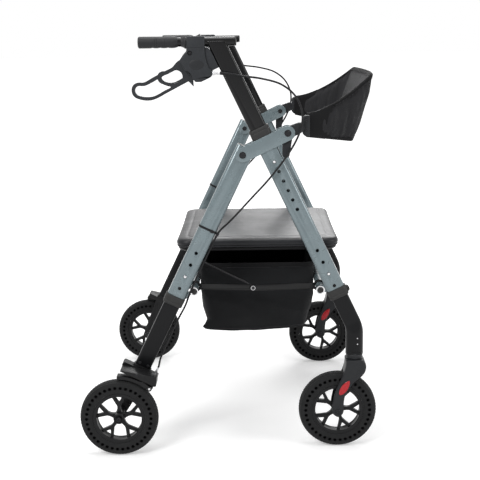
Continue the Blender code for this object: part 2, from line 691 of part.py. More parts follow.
def brake_housing():
    """The housing clamped round the rail: clamp block above, cheeks round the lever's root below."""
    px, pz = LEVER_PIVOT_X, LEVER_PIVOT_Z
    rear, front = HOUSING_REAR_X, HOUSING_FRONT_X
    top = RAIL_Z + RAIL_RADIUS + 0.0025
    cheeks = about_pivot([
        (0.1477, 0.0530), (0.2181, -0.0779), (0.2399, -0.1308), (0.1931, -0.1900), (0.0561, -0.2492),
        (-0.0280, -0.2492), (-0.0685, -0.2056), (-0.1308, -0.0935), (-0.2648, 0.0779), (-0.2586, 0.0966),
    ])
    outline = [(rear, top), (front, top), (front, RAIL_Z - RAIL_RADIUS - 0.001), *cheeks,
               (rear - 0.002, RAIL_Z - RAIL_RADIUS - 0.010)]
    half = HOUSING_DEPTH / 2
    bevel = 0.0030
    y = -FRAME_Y
    middle = Vector((sum(u for u, v in outline), sum(v for u, v in outline))) / len(outline)
    inset = [tuple(Vector(p) + (middle - Vector(p)).normalized() * bevel) for p in outline]
    levels = ((inset, -half), (outline, bevel - half), (outline, half - bevel), (inset, half))
    sections = [[Vector((u, y + at, v)) for u, v in ring] for ring, at in levels]
    housing = lofted("brake_housing", sections, "grey_plastic")
    wedge = [(front - 0.006, RAIL_Z - 0.010), (front + 0.0085, RAIL_Z - 0.0145)]
    wedge += about_pivot([(0.3209, -0.0312), (0.1994, -0.0935), (0.0748, -0.0623)])
    inboard = extruded("wedge", wedge, y, y + half - 0.002, upright)
    join(housing, inboard)
    bore = rod("bore", (rear - 0.05, y, RAIL_Z), (front + 0.05, y, RAIL_Z), RAIL_RADIUS + GAP, 16)
    slot_half = LEVER_DEPTH / 2 + GAP
    reach = LEVER_ROOT_RADIUS + 0.0012
    slot = [(px + reach * math.cos(t), pz + reach * math.sin(t))
            for t in [math.radians(a) for a in range(-50, 100, 17)]]
    slot += about_pivot([(-0.0748, 0.1464), (-0.2119, 0.1714), (-0.3738, 0.1464)])
    slot += about_pivot([(-0.3738, -0.4361), (0.0312, -0.4361)])
    pocket = extruded("slot", slot, y - slot_half, y + slot_half, upright)
    cut(housing, bore, pocket)
    pin = rod("pin", (px, y - slot_half - WELD, pz), (px, y + slot_half + WELD, pz), LEVER_PIN_RADIUS, 12)
    join(housing, pin)
    end = cable_start()
    join(housing, rod("barrel", end - Vector((BARREL_LENGTH + 0.006, 0, 0)), end, BARREL_RADIUS, 10))
    return pair(housing)


def cable_start():
    """Where the brake cable leaves the barrel on the right housing."""
    x = LEVER_PIVOT_X + BARREL_REACH + BARREL_LENGTH
    return Vector((x, -FRAME_Y - BARREL_SIDE, LEVER_PIVOT_Z - BARREL_DROP))


def brake_lever():
    """A loop lever: outer loop, inner finger ring and a round root on the pivot."""
    px, pz = LEVER_PIVOT_X, LEVER_PIVOT_Z
    y = -FRAME_Y
    loop = about_pivot([
        (-0.2492, 0.0779), (-0.3738, -0.0280), (-0.5919, -0.1402), (-0.7539, -0.2274), (-0.8224, -0.2523),
        (-0.9097, -0.2430), (-0.9720, -0.2804), (-1.0000, -0.3551), (-0.9564, -0.4361), (-0.8536, -0.4891),
        (-0.7352, -0.5140), (-0.6231, -0.4984), (-0.5421, -0.4517), (-0.3738, -0.3551), (-0.1558, -0.2492),
    ])
    outer = smooth_through([(u, 0, v) for u, v in loop], 24)
    inner = offset_path(outer, LEVER_BAR)
    bar = [(p.x, p.z) for p in outer] + [(p.x, p.z) for p in reversed(inner)]
    half = LEVER_DEPTH / 2
    lever = extruded("brake_lever", bar, y - half, y + half, upright)
    root = around((px, pz), LEVER_ROOT_RADIUS, 0, 2 * math.pi, 16)[:-1]
    join(lever, extruded("root", root, y - half, y + half, upright))
    web = about_pivot([
        (-0.2492, 0.0779), (-0.0374, 0.1028), (-0.0125, -0.1047), (-0.1558, -0.2492), (-0.2056, -0.2181),
        (-0.2150, -0.1620), (-0.1931, -0.0748), (-0.2181, -0.0249), (-0.2741, 0.0062),
    ])
    join(lever, extruded("web", web, y - half, y + half, upright))
    ring = about_pivot([(-0.5421, -0.1433), (-0.5234, -0.2305), (-0.4361, -0.2804), (-0.3364, -0.2928),
                        (-0.2492, -0.2617)])
    ring = smooth_through([(u, 0, v) for u, v in ring], 8)
    guard = [(p.x, p.z) for p in ring] + [(p.x, p.z) for p in reversed(offset_path(ring, LEVER_BAR / 2))]
    join(lever, extruded("guard", guard, y - half + 0.001, y + half - 0.001, upright))
    tab = about_pivot([(-0.1869, -0.1994), (-0.0997, -0.1869), (-0.0530, -0.3240)])
    join(lever, extruded("tab", tab, y - half + 0.003, y + half - 0.003, upright))
    hole = rod("hole", (px, y - HOUSING_DEPTH, pz), (px, y + HOUSING_DEPTH, pz), LEVER_PIN_RADIUS + GAP, 12)
    cut(lever, hole)
    return pair(lever)


def offset_path(path, distance):
    """The path moved sideways in the XZ plane, to its left as it is walked."""
    moved = []
    for i, point in enumerate(path):
        before, after = path[max(i - 1, 0)], path[min(i + 1, len(path) - 1)]
        along = (after - before).normalized()
        moved.append(point + Vector((-along.z, 0, along.x)) * distance)
    return moved


def leg_path(top):
    """Centre points of the front leg: straight, then bent to the caster's upright axis."""
    tangent = LEG_BEND_RADIUS * math.tan(FRONT_LEAN / 2)
    points = [(BEND + FRONT_UP * top, FRONT_UP, 0.0), (BEND + FRONT_UP * tangent, FRONT_UP, 0.0)]
    centre = BEND + FRONT_UP * tangent - FRONT_ACROSS * LEG_BEND_RADIUS
    for i in range(1, 7):
        share = i / 6
        lean = FRONT_LEAN * (1 - share)
        up = Vector((-math.sin(lean), 0, math.cos(lean)))
        across = Vector((math.cos(lean), 0, math.sin(lean)))
        points.append((centre + across * LEG_BEND_RADIUS, up, share))
    low = Vector((CASTER_X, 0, FRONT_LEG_BOTTOM_Z))
    points.append((low, UP, 1.0))
    return points


def front_leg():
    """A leg that slides in the front tube, bends upright and ends in a round bearing cup."""
    top = FRONT_LEG_HOLE_STATION + MEMBER_PAST_BUTTON
    sections = []
    for middle, up, share in leg_path(top):
        width = MEMBER_WIDTH + (LEG_FOOT_WIDTH - MEMBER_WIDTH) * share
        depth = MEMBER_DEPTH + (LEG_FOOT_DEPTH - MEMBER_DEPTH) * share
        corner = MEMBER_CORNER + (LEG_FOOT_DEPTH / 2 - 0.001 - MEMBER_CORNER) * share
        across = Vector((up.z, 0, -up.x))
        outline = round_rectangle(width, depth, corner)
        place = middle + RIGHT * FRAME_Y
        sections.append([place + across * u + RIGHT * v for u, v in outline])
    leg = lofted("front_leg", sections, "satin_black")
    start = LEG_BEND_RADIUS * math.tan(FRONT_LEAN / 2) + 0.004
    hollow = [[front_point(at, u, v) for u, v in
               round_rectangle(MEMBER_WIDTH - 2 * TUBE_WALL, MEMBER_DEPTH - 2 * TUBE_WALL, 0.005, 2)]
              for at in (start, top + 0.01)]
    cut(leg, lofted("hollow", hollow))
    foot = (CASTER_X, -FRAME_Y, FRONT_LEG_BOTTOM_Z)
    r = LEG_FOOT_DEPTH / 2 + 0.0030
    h = BEARING_CUP_HEIGHT
    cup = [(0, 0.004), (r - 0.0024, 0.004), (r - 0.0024, 0.0015), (r, 0), (r, 0.004 - h),
           (r - 0.0012, 0.0010 - h), (0, 0.0010 - h)]
    cup = [(radius, -along) for radius, along in cup]
    join(leg, turned("cup", cup, foot, (0, 0, -1), 18, "satin_black"))
    stem_bore = rod("bore", (CASTER_X, -FRAME_Y, FRONT_LEG_BOTTOM_Z - 0.05),
                    (CASTER_X, -FRAME_Y, caster_top_z() + STEM_LENGTH + GAP), STEM_RADIUS + GAP, 16)
    cut(leg, stem_bore)
    wall = MEMBER_DEPTH / 2 - 2 * TUBE_WALL
    drill(leg, front_point, [FRONT_LEG_HOLE_STATION], BUTTON_RADIUS + GAP, wall, TUBE_DEPTH)
    return pair(leg)


def caster_top_z():
    return FRONT_LEG_BOTTOM_Z - BEARING_CUP_HEIGHT - GAP


def rear_leg():
    start = REAR_LEG_HOLE_DISTANCE - MEMBER_PAST_BUTTON
    end = BRACKET_DISTANCE - GAP
    leg = hollow_member(
        "rear_leg", rear_point, start, end,
        MEMBER_WIDTH, REAR_MEMBER_DEPTH, MEMBER_CORNER, TUBE_WALL, "satin_black",
    )
    wall = REAR_MEMBER_DEPTH / 2 - 2 * TUBE_WALL
    drill(leg, rear_point, [REAR_LEG_HOLE_DISTANCE], BUTTON_RADIUS + GAP, wall, TUBE_DEPTH)
    return pair(leg)


def caster_fork():
    """A moulded fork: bulbous crown, two swept blades, kingpin above and axle across."""
    top = caster_top_z()
    ax, az = FRONT_AXLE.x, FRONT_AXLE.z
    half = TYRE_WIDTH / 2 + FORK_CLEARANCE + FORK_BLADE
    rise = top - az
    crown = [(-0.1579, 0), (0.1652, 0), (0.2019, -0.0661), (0.2129, -0.1468), (0.1872, -0.2423),
             (0.1175, -0.3304), (-0.0073, -0.4258), (-0.0808, -0.5286)]
    outline = [(CASTER_X + u * rise, top + v * rise) for u, v in crown]
    outline += [(ax + u * rise, az + v * rise) for u, v in ((0.1468, 0.3304), (0.1138, 0.1615))]
    outline += around((ax, az), FORK_END_RADIUS, math.radians(20), math.radians(-200), 8)
    back = [(-0.0881, 0.2203), (-0.0367, 0.4112), (0.0514, 0.6094), (0.1211, 0.7930), (0.1468, 0.9119)]
    outline += [(ax + u * rise, az + v * rise) for u, v in back]
    place = lambda u, v, w: Vector((u, -FRAME_Y + w, v))
    bevel = FORK_BEVEL
    inset = []
    for i, p in enumerate(outline):
        before, after = Vector(outline[i - 1]), Vector(outline[(i + 1) % len(outline)])
        along = (after - before).normalized()
        inset.append((p[0] + along.y * bevel, p[1] - along.x * bevel))
    levels = ((inset, -half), (outline, bevel - half), (outline, half - bevel), (inset, half))
    sections = [[place(u, v, at) for u, v in ring] for ring, at in levels]
    fork = lofted("caster_fork", sections, "grey_plastic")
    room = TYRE_WIDTH / 2 + FORK_CLEARANCE
    centre = Vector((ax, -FRAME_Y, az))
    slot = rod("slot", centre - RIGHT * room, centre + RIGHT * room, WHEEL_RADIUS + FORK_CLEARANCE, 30)
    cut(fork, slot)
    king = rod("kingpin", (CASTER_X, -FRAME_Y, top - 0.010), (CASTER_X, -FRAME_Y, top + STEM_LENGTH),
               STEM_RADIUS, 16)
    axle = rod("axle", centre - RIGHT * (half - 0.002), centre + RIGHT * (half - 0.002), AXLE_RADIUS, 16)
    join(fork, king, axle)
    return pair(fork)


def fork_reflector():
    """An oval reflector let into each blade's outer face."""
    half = TYRE_WIDTH / 2 + FORK_CLEARANCE + FORK_BLADE
    lean = math.radians(58)
    centre = Vector((FRONT_AXLE.x + 0.0165, FRONT_AXLE.z + 0.0640))
    outline = []
    for i in range(16):
        turn = 2 * math.pi * i / 16
        u = REFLECTOR_LENGTH / 2 * math.cos(turn)
        v = REFLECTOR_WIDTH / 2 * math.sin(turn)
        outline.append((centre.x + u * math.cos(lean) - v * math.sin(lean),
                        centre.y + u * math.sin(lean) + v * math.cos(lean)))
    place = lambda u, v, w: Vector((u, -FRAME_Y - w, v))
    return pair(extruded("fork_reflector", outline, half + GAP, half + GAP + REFLECTOR_PROUD, place,
                         (), "reflector_red"))


def tyre(name, centre):
    """An airless tyre with a crowned tread, one of its facets flat on the floor."""
    half, seat = TYRE_WIDTH / 2, WHEEL_RADIUS - TYRE_DEPTH
    r = WHEEL_RADIUS / FLAT_SHARE
    profile = [
        (seat, -half * 0.80), (seat + 0.004, -half), (r - TYRE_SHOULDER, -half), (r, -half * 0.45),
        (r, half * 0.45), (r - TYRE_SHOULDER, half), (seat + 0.004, half), (seat, half * 0.80),
    ]
    obj = turned(name, profile, centre, (0, 1, 0), TREAD_FACETS, "tyre_rubber",
                 FACET_PHASE)
    return pair(obj)


def rim(name, centre, turn):
    """A moulded rim: hub, five spokes that each split into a Y, and the band under the tyre."""
    half = TYRE_WIDTH / 2 * 0.80
    band = [(RIM_RADIUS, -half), (RIM_RADIUS, half), (RIM_OPENING, half), (RIM_OPENING, -half)]
    wheel = turned(name, band, centre, (0, 1, 0), TREAD_FACETS, "rim_plastic", FACET_PHASE)
    hub_half = HUB_LENGTH / 2
    hub = [(0, -hub_half), (HUB_RADIUS, -hub_half), (HUB_RADIUS, hub_half), (0, hub_half)]
    join(wheel, turned("hub", hub, centre, (0, 1, 0), 16))
    draw = lambda u, v, w: Vector((centre[0] + u, centre[1] + w, centre[2] + v))
    thick = SPOKE_THICKNESS / 2
    for i in range(SPOKE_COUNT):
        heading = turn + 2 * math.pi * i / SPOKE_COUNT
        join(wheel, extruded("spoke", spoke_outline(heading), -thick, thick, draw))
    bore = rod("bore", draw(0, 0, -HUB_LENGTH), draw(0, 0, HUB_LENGTH), AXLE_RADIUS + GAP, 10)
    cut(wheel, bore)
    return pair(wheel)


def spoke_outline(heading):
    """A Y: a stem from the hub that splits into two arms which run into the band."""
    w = SPOKE_WIDTH / 2
    end = RIM_OPENING + RIM_BAND / 2
    tip = Vector((end * math.cos(SPOKE_SPREAD), end * math.sin(SPOKE_SPREAD)))
    fork = Vector((SPOKE_FORK, 0))
    along = (tip - fork).normalized()
    side = Vector((-along.y, along.x)) * w
    start = HUB_RADIUS - 0.003
    crotch = w / along.y
    upper = [(start, w * 1.25), (SPOKE_FORK - w * 0.6, w * 1.05), tuple(tip + side), tuple(tip - side)]
    lower = [(u, -v) for u, v in reversed(upper)]
    points = upper + [(SPOKE_FORK + crotch, 0)] + lower
    c, s = math.cos(heading), math.sin(heading)
    return [(u * c - v * s, u * s + v * c) for u, v in points]


def rear_wheel_bracket():
    """Carries the wheel and the brake: socket plate under the leg, nose, arm and stub axle."""
    d0 = BRACKET_DISTANCE
    inside = bracket_inside()
    over_tyre = REAR_WHEEL_Y - FRAME_Y + SHOE_WIDTH / 2
    rear, front = -BRACKET_REAR_REACH, BRACKET_FRONT_REACH
    plate = [(d0, rear + 0.003), (d0 + 0.003, rear), (d0 + BRACKET_PLATE - 0.002, rear),
             (d0 + BRACKET_PLATE, rear + 0.002), (d0 + BRACKET_PLATE, front), (d0 + 0.002, front),
             (d0, front - 0.002)]
    bracket = extruded("rear_wheel_bracket", plate, inside, over_tyre, rear_point, (), "black_steel")
    shoe_inside = shoe_inner_side() - GAP
    nose_front = front - 0.0008
    nose = [(d0 + 0.004, front - BRACKET_NOSE), (d0 + 0.004, nose_front), (d0 + 0.030, nose_front),
            (d0 + 0.033, front - 0.004), (d0 + 0.033, front - BRACKET_NOSE + 0.003),
            (d0 + 0.026, front - BRACKET_NOSE)]
    block = extruded("nose", nose, inside + 0.001, shoe_inside, rear_point)
    pin_at = shoe_pivot()
    pin = rod("pin", rear_point(*pin_at, shoe_inside - 0.004), rear_point(*pin_at, over_tyre - 0.0015),
              SHOE_PIN_RADIUS, 12)
    join(bracket, join(block, pin))
    wheel = REAR_WHEEL_DISTANCE
    arm = [(d0 + 0.004, -0.023), (d0 + 0.004, 0.025), (wheel - 0.060, 0.020)]
    arm += [(wheel + u, v) for u, v in around((0, 0), 0.0140, math.radians(60), math.radians(-60), 8)]
    arm += [(wheel - 0.060, -0.018)]
    arm_out = wheel_arm_side()
    join(bracket, extruded("arm", arm, arm_out - ARM_THICKNESS, arm_out, rear_point))
    hub_in = REAR_WHEEL_Y - FRAME_Y - HUB_LENGTH / 2 - GAP
    boss = rod("boss", rear_point(wheel, 0, arm_out - 0.002), rear_point(wheel, 0, hub_in),
               STUB_RADIUS + 0.004, 20)
    hub_out = REAR_WHEEL_Y - FRAME_Y + HUB_LENGTH / 2
    stub = rod("stub", rear_point(wheel, 0, arm_out - 0.001), rear_point(wheel, 0, hub_out + 0.002),
               AXLE_RADIUS, 16)
    join(bracket, boss, stub)
    return pair(bracket)


def wheel_arm_side():
    """Outward distance of the wheel arm's outer face from the frame's middle plane."""
    return REAR_WHEEL_Y - FRAME_Y - TYRE_WIDTH / 2 - ARM_CLEARANCE


def bracket_inside():
    """Outward distance of the bracket's inner side: it covers the leg above and the arm below."""
    arm = wheel_arm_side() - ARM_THICKNESS
    return min(-REAR_MEMBER_DEPTH / 2, arm) - BRACKET_MARGIN


def shoe_inner_side():
    return REAR_WHEEL_Y - FRAME_Y - SHOE_WIDTH / 2


def shoe_pivot():
    """The brake shoe's pin, as distance along the rear tube's axis and across it."""
    return BRACKET_DISTANCE + 0.0245, BRACKET_FRONT_REACH - BRACKET_NOSE / 2


def brake_shoe():
    """A curved shoe over the tyre, pinned at the bracket's nose."""
    wheel = REAR_WHEEL_DISTANCE
    inner = WHEEL_RADIUS + SHOE_CLEARANCE
    limit = wheel - BRACKET_DISTANCE - BRACKET_PLATE - 0.0012
    outline = []
    steps = 7
    for i in range(steps + 1):
        turn = -SHOE_REAR_ANGLE + (SHOE_REAR_ANGLE + SHOE_FRONT_ANGLE) * i / steps
        outline.append((wheel - inner * math.cos(turn), inner * math.sin(turn)))
    at, across = shoe_pivot()
    outline += [(at + 0.0052, across - 0.002), (at + 0.0050, across + 0.0032), (at, across + 0.0062),
                (at - 0.0056, across + 0.0030), (at - 0.0056, across - 0.004)]
    outline += [(wheel - limit, across - 0.022)]
    for i in range(steps - 2, -1, -1):
        turn = -SHOE_REAR_ANGLE + (SHOE_REAR_ANGLE + SHOE_FRONT_ANGLE * 0.2) * i / steps
        outer = min(inner + SHOE_THICKNESS, limit / math.cos(turn))
        outline.append((wheel - outer * math.cos(turn), outer * math.sin(turn)))
    middle = REAR_WHEEL_Y - FRAME_Y
    low, high = middle - SHOE_WIDTH / 2, middle + SHOE_WIDTH / 2 - 0.002
    shoe = extruded("brake_shoe", outline, low, high, rear_point, (), "black_steel")
    cut(shoe, rod("hole", rear_point(at, across, low - 0.01), rear_point(at, across, high + 0.01),
                  SHOE_PIN_RADIUS + GAP, 12))
    return pair(shoe)


def brace_bars():
    """Flat bars from the two cross tubes to a knee on each side.

    The linkage is opened there: the front bar has the pin's head and the rear bar its hole.
    """
    y = -BRACE_Y
    half = BRACE_THICKNESS / 2
    knee = (BRACE_KNEE_X, BRACE_KNEE_Z)
    made = []
    spans = (("brace_bar_front", cross_tube_x(True), y),
             ("brace_bar_rear", cross_tube_x(False), y + BRACE_THICKNESS + 2 * GAP))
    for name, x, at in spans:
        eye = (x, CROSS_TUBE_Z)
        delta = Vector(knee) - Vector(eye)
        along = delta.normalized()
        side = Vector((-along.y, along.x)) * BRACE_WIDTH / 2
        heading = math.atan2(along.y, along.x)
        opening = math.asin(BRACE_WIDTH / 2 / BRACE_EYE_RADIUS)
        ring = around(eye, BRACE_EYE_RADIUS, heading + opening, heading + 2 * math.pi - opening, 12)
        tip = around(knee, BRACE_WIDTH / 2, heading - math.pi / 2, heading + math.pi / 2, 6)
        bar = extruded(name, ring + tip, at - half, at + half, upright,
                       (), "gloss_black")
        bore = rod("bore", (x, at - 0.02, CROSS_TUBE_Z), (x, at + 0.02, CROSS_TUBE_Z),
                   CROSS_TUBE_RADIUS + GAP, 16)
        cut(bar, bore)
        centre = (knee[0], at, knee[1])
        if name == "brace_bar_front":
            low, h = half - WELD, half + KNEE_HEAD_HEIGHT
            head = [(0, low), (KNEE_HEAD_RADIUS, low), (KNEE_HEAD_RADIUS - 0.0006, h - 0.001),
                    (KNEE_PIN_RADIUS, h), (0, h)]
            join(bar, turned("head", head, centre, RIGHT, 16))
        else:
            past = RIGHT * BRACE_WIDTH
            cut(bar, rod("hole", Vector(centre) - past, Vector(centre) + past, KNEE_PIN_RADIUS + GAP, 12))
        made += pair(bar)
    return made


def seat_ring(z, inset, steps=5):
    """The seat's outline in plan at a height, drawn in by an amount."""
    length, width = SEAT_FRONT_X - SEAT_REAR_X - 2 * inset, SEAT_WIDTH - 2 * inset
    middle = (SEAT_FRONT_X + SEAT_REAR_X) / 2
    outline = round_rectangle(length, width, max(SEAT_CORNER - inset, 0.006), steps)
    return [Vector((middle + u, v, z)) for u, v in outline]


def seat_pan():
    """The stiff base under the cushion, with an ear round the front rail at each side."""
    bottom = SEAT_RAIL_Z + CROSS_TUBE_RADIUS + GAP
    top = bottom + PAN_THICKNESS
    levels = ((bottom, 0.010), (bottom + 0.003, 0.006), (top, 0.0045))
    pan = lofted("seat_pan", [seat_ring(z, inset) for z, inset in levels], "satin_black")
    x = frame_tube_x(SEAT_RAIL_Z, True)
    outer = CROSS_TUBE_RADIUS + 0.0035
    ear = around((x, SEAT_RAIL_Z), outer, math.radians(-180), 0, 10)
    ear += [(x + outer, bottom + 0.002), (x - outer, bottom + 0.002)]
    for side in (-1, 1):
        low = side * HINGE_EAR_Y - HINGE_EAR_WIDTH / 2
        join(pan, extruded("ear", ear, low, low + HINGE_EAR_WIDTH, upright))
        bore = rod("bore", (x, low - 0.01, SEAT_RAIL_Z), (x, low + HINGE_EAR_WIDTH + 0.01, SEAT_RAIL_Z),
                   CROSS_TUBE_RADIUS + GAP, 16)
        cut(pan, bore)
    return pan


def seat_cushion():
    """The padded top: sides drawn in under the edge, rounded rim and a low crown."""
    bottom = SEAT_RAIL_Z + CROSS_TUBE_RADIUS + 2 * GAP + PAN_THICKNESS
    rise = SEAT_TOP_Z - SEAT_CROWN - bottom
    levels = [
        (bottom, CUSHION_TUCK + 0.002), (bottom + rise * 0.12, 0.0014), (bottom + rise * 0.42, 0),
        (bottom + rise * 0.76, 0.0016), (bottom + rise * 0.93, 0.0060), (bottom + rise, 0.0125),
    ]
    rings = [seat_ring(z, inset) for z, inset in levels]
    for share in (0.35, 0.70):
        inset = 0.0125 + share * 0.16
        crown = SEAT_CROWN * math.sin(math.pi / 2 * (share * 0.9 + 0.08))
        rings.append(seat_ring(bottom + rise + crown, inset))
    return lofted("seat_cushion", rings, "vinyl")


def bag():
    """An open fabric bag between the cross tubes, narrower and sagging at the bottom."""
    rear = cross_tube_x(False) + CROSS_TUBE_RADIUS + GAP
    front = cross_tube_x(True) - CROSS_TUBE_RADIUS - GAP
    middle, length = (rear + front) / 2, front - rear
    bottom = BAG_TOP_Z - BAG_DEPTH
    neck = CROSS_TUBE_Z - 0.02

    def ring(z, inset, corner=0.020, sag=0.0):
        points = []
        for u, v in round_rectangle(length - 2 * inset, BAG_WIDTH - 2 * inset, corner, 3):
            dip = sag * (1 - (2 * u / length) ** 2)
            points.append(Vector((middle + u, v, z - dip)))
        return points

    t = BAG_WALL
    outer = [ring(BAG_TOP_Z, 0), ring(neck, 0), ring(bottom + 0.018, BAG_TAPER),
             ring(bottom, BAG_TAPER + 0.008, 0.016, BAG_SAG)]
    inner = [ring(bottom + t, BAG_TAPER + 0.010, 0.014, BAG_SAG), ring(bottom + 0.018, BAG_TAPER + t, 0.018),
             ring(neck, t, 0.018), ring(BAG_TOP_Z, t, 0.018)]
    data = bmesh.new()
    rings = [[data.verts.new(p) for p in r] for r in outer + inner]
    count = len(rings[0])
    for first, second in zip(rings, rings[1:]):
        if first is rings[3]:
            continue
        for i in range(count):
            j = (i + 1) % count
            data.faces.new([first[i], first[j], second[j], second[i]])
    for i in range(count):
        j = (i + 1) % count
        data.faces.new([rings[7][i], rings[7][j], rings[0][j], rings[0][i]])
    data.faces.new(rings[3])
    data.faces.new(rings[4])
    bmesh.ops.triangulate(data, faces=[f for f in data.faces if len(f.verts) > 4])
    return object_from(data, "bag", "bag_cloth")


def band_line(y):
    """Top and bottom edge of the backrest band's middle surface at a distance from the centre."""
    reach = abs(y)
    if reach <= PANEL_HALF_WIDTH:
        bow = PANEL_BOW * (1 - (reach / PANEL_HALF_WIDTH) ** 2)
        top = Vector((PANEL_TOP_X + bow, y, PANEL_TOP_Z))
        low = Vector((PANEL_BOTTOM_X + bow, y, PANEL_BOTTOM_Z))
        return top, low
    share = max(BAND_HALF_WIDTH - reach, 0.0) / (BAND_HALF_WIDTH - PANEL_HALF_WIDTH)
    climb = share ** 1.6
    top = Vector((BAND_END_X + (PANEL_TOP_X - BAND_END_X) * share, y,
                  BAND_END_TOP_Z + (PANEL_TOP_Z - BAND_END_TOP_Z) * climb))
    low = Vector((BAND_END_X + (PANEL_BOTTOM_X - BAND_END_X) * share, y,
                  BAND_END_BOTTOM_Z + (PANEL_BOTTOM_Z - BAND_END_BOTTOM_Z) * share))
    return top, low


def backrest_band():
    """The padded band: an upright panel behind the walker's back with two wings toed in to it."""
    wing = [BAND_HALF_WIDTH - (BAND_HALF_WIDTH - PANEL_HALF_WIDTH) * i / 6 for i in range(7)]
    panel = [PANEL_HALF_WIDTH * (1 - i / 5) for i in range(1, 5)]
    half = wing + panel
    stations = [-y for y in half] + [0.0] + half[::-1]
    stations = sorted(set(round(y, 6) for y in stations))
    sections = []
    for i, y in enumerate(stations):
        top, low = band_line(y)
        before = sum(band_line(stations[max(i - 1, 0)]), Vector())
        after = sum(band_line(stations[min(i + 1, len(stations) - 1)]), Vector())
        along = after - before
        along.z = 0
        out = Vector((along.y, -along.x, 0)).normalized()
        t = BAND_THICKNESS / 2
        up = (top - low).normalized()
        shape = [(0.0, 0.45), (0.06, 0.85), (0.5, 1.0), (0.94, 0.85), (1.0, 0.45)]
        front = [low.lerp(top, share) + out * t * swell for share, swell in shape]
        back = [low.lerp(top, share) - out * t * swell for share, swell in reversed(shape)]
        for point in front + back:
            point.y = max(-BAND_HALF_WIDTH, min(BAND_HALF_WIDTH, point.y))
        sections.append(front + back)
    return lofted("backrest_band", sections, "band_cloth")


def backrest_bracket():
    """A black arm on the front pivot: it holds the band's end and its foot stops on the tube."""
    centre = Vector((BACKREST_PIVOT.x, BACKREST_PIVOT.z))
    toe_middle = front_point(PLATE_STATION - 0.045, TUBE_WIDTH / 2 + 0.0105 + GAP, 0)
    toe = (toe_middle.x, toe_middle.z)
    tip = (BAND_END_X - 0.018, (BAND_END_TOP_Z + BAND_END_BOTTOM_Z) / 2 - 0.004)
    hem = -BAND_HALF_WIDTH - GAP
    outer = hem - BACKREST_ARM_DEPTH
    arm = link_outline(tuple(centre), 0.0150, tip, 0.0125)
    bracket = extruded("backrest_bracket", arm, outer, hem - 0.0005, upright)
    foot = link_outline(tuple(centre), 0.0130, toe, 0.0090)
    join(bracket, extruded("foot", foot, outer + 0.001, hem - 0.0015, upright))
    low = BAND_END_BOTTOM_Z + 0.003
    high = BAND_END_TOP_Z - 0.003
    x = BAND_END_X
    bar = [(x - 0.011, low + 0.006), (x - 0.005, low), (x + 0.006, low), (x + 0.006, high),
           (x - 0.005, high), (x - 0.011, high - 0.006)]
    join(bracket, extruded("bar", bar, outer + 0.002, hem, upright))
    past = TUBE_DEPTH
    hole = rod("hole", (centre.x, outer - past, centre.y), (centre.x, hem + past, centre.y),
               PIVOT_RADIUS + GAP, 12)
    cut(bracket, hole)
    return pair(bracket)


def snap_button(name, point, station, depth, tube_depth, way):
    """A domed steel button out through the tube's hole, with its leaf spring along the member's inside."""
    r = BUTTON_RADIUS
    start = depth / 2 - TUBE_WALL - BUTTON_BASE
    tip = tube_depth / 2 + BUTTON_PROUD
    origin = point(station, 0, start)
    flange = r + 0.0014
    base = BUTTON_BASE - GAP
    profile = [(0, 0), (flange, 0), (flange, base), (r, base), (r, tip - start - 0.001),
               (0, tip - start)]
    button = turned(name, profile, origin, RIGHT, 10, "steel")
    near, far = sorted((station, station + way * LEAF_LENGTH))
    w = LEAF_WIDTH / 2
    low = start + GAP / 2
    leaf = extruded("leaf", [(near, -w), (near, w), (far, w), (far, -w)], low, low + LEAF_THICKNESS, point)
    join(button, leaf)
    return pair(button)


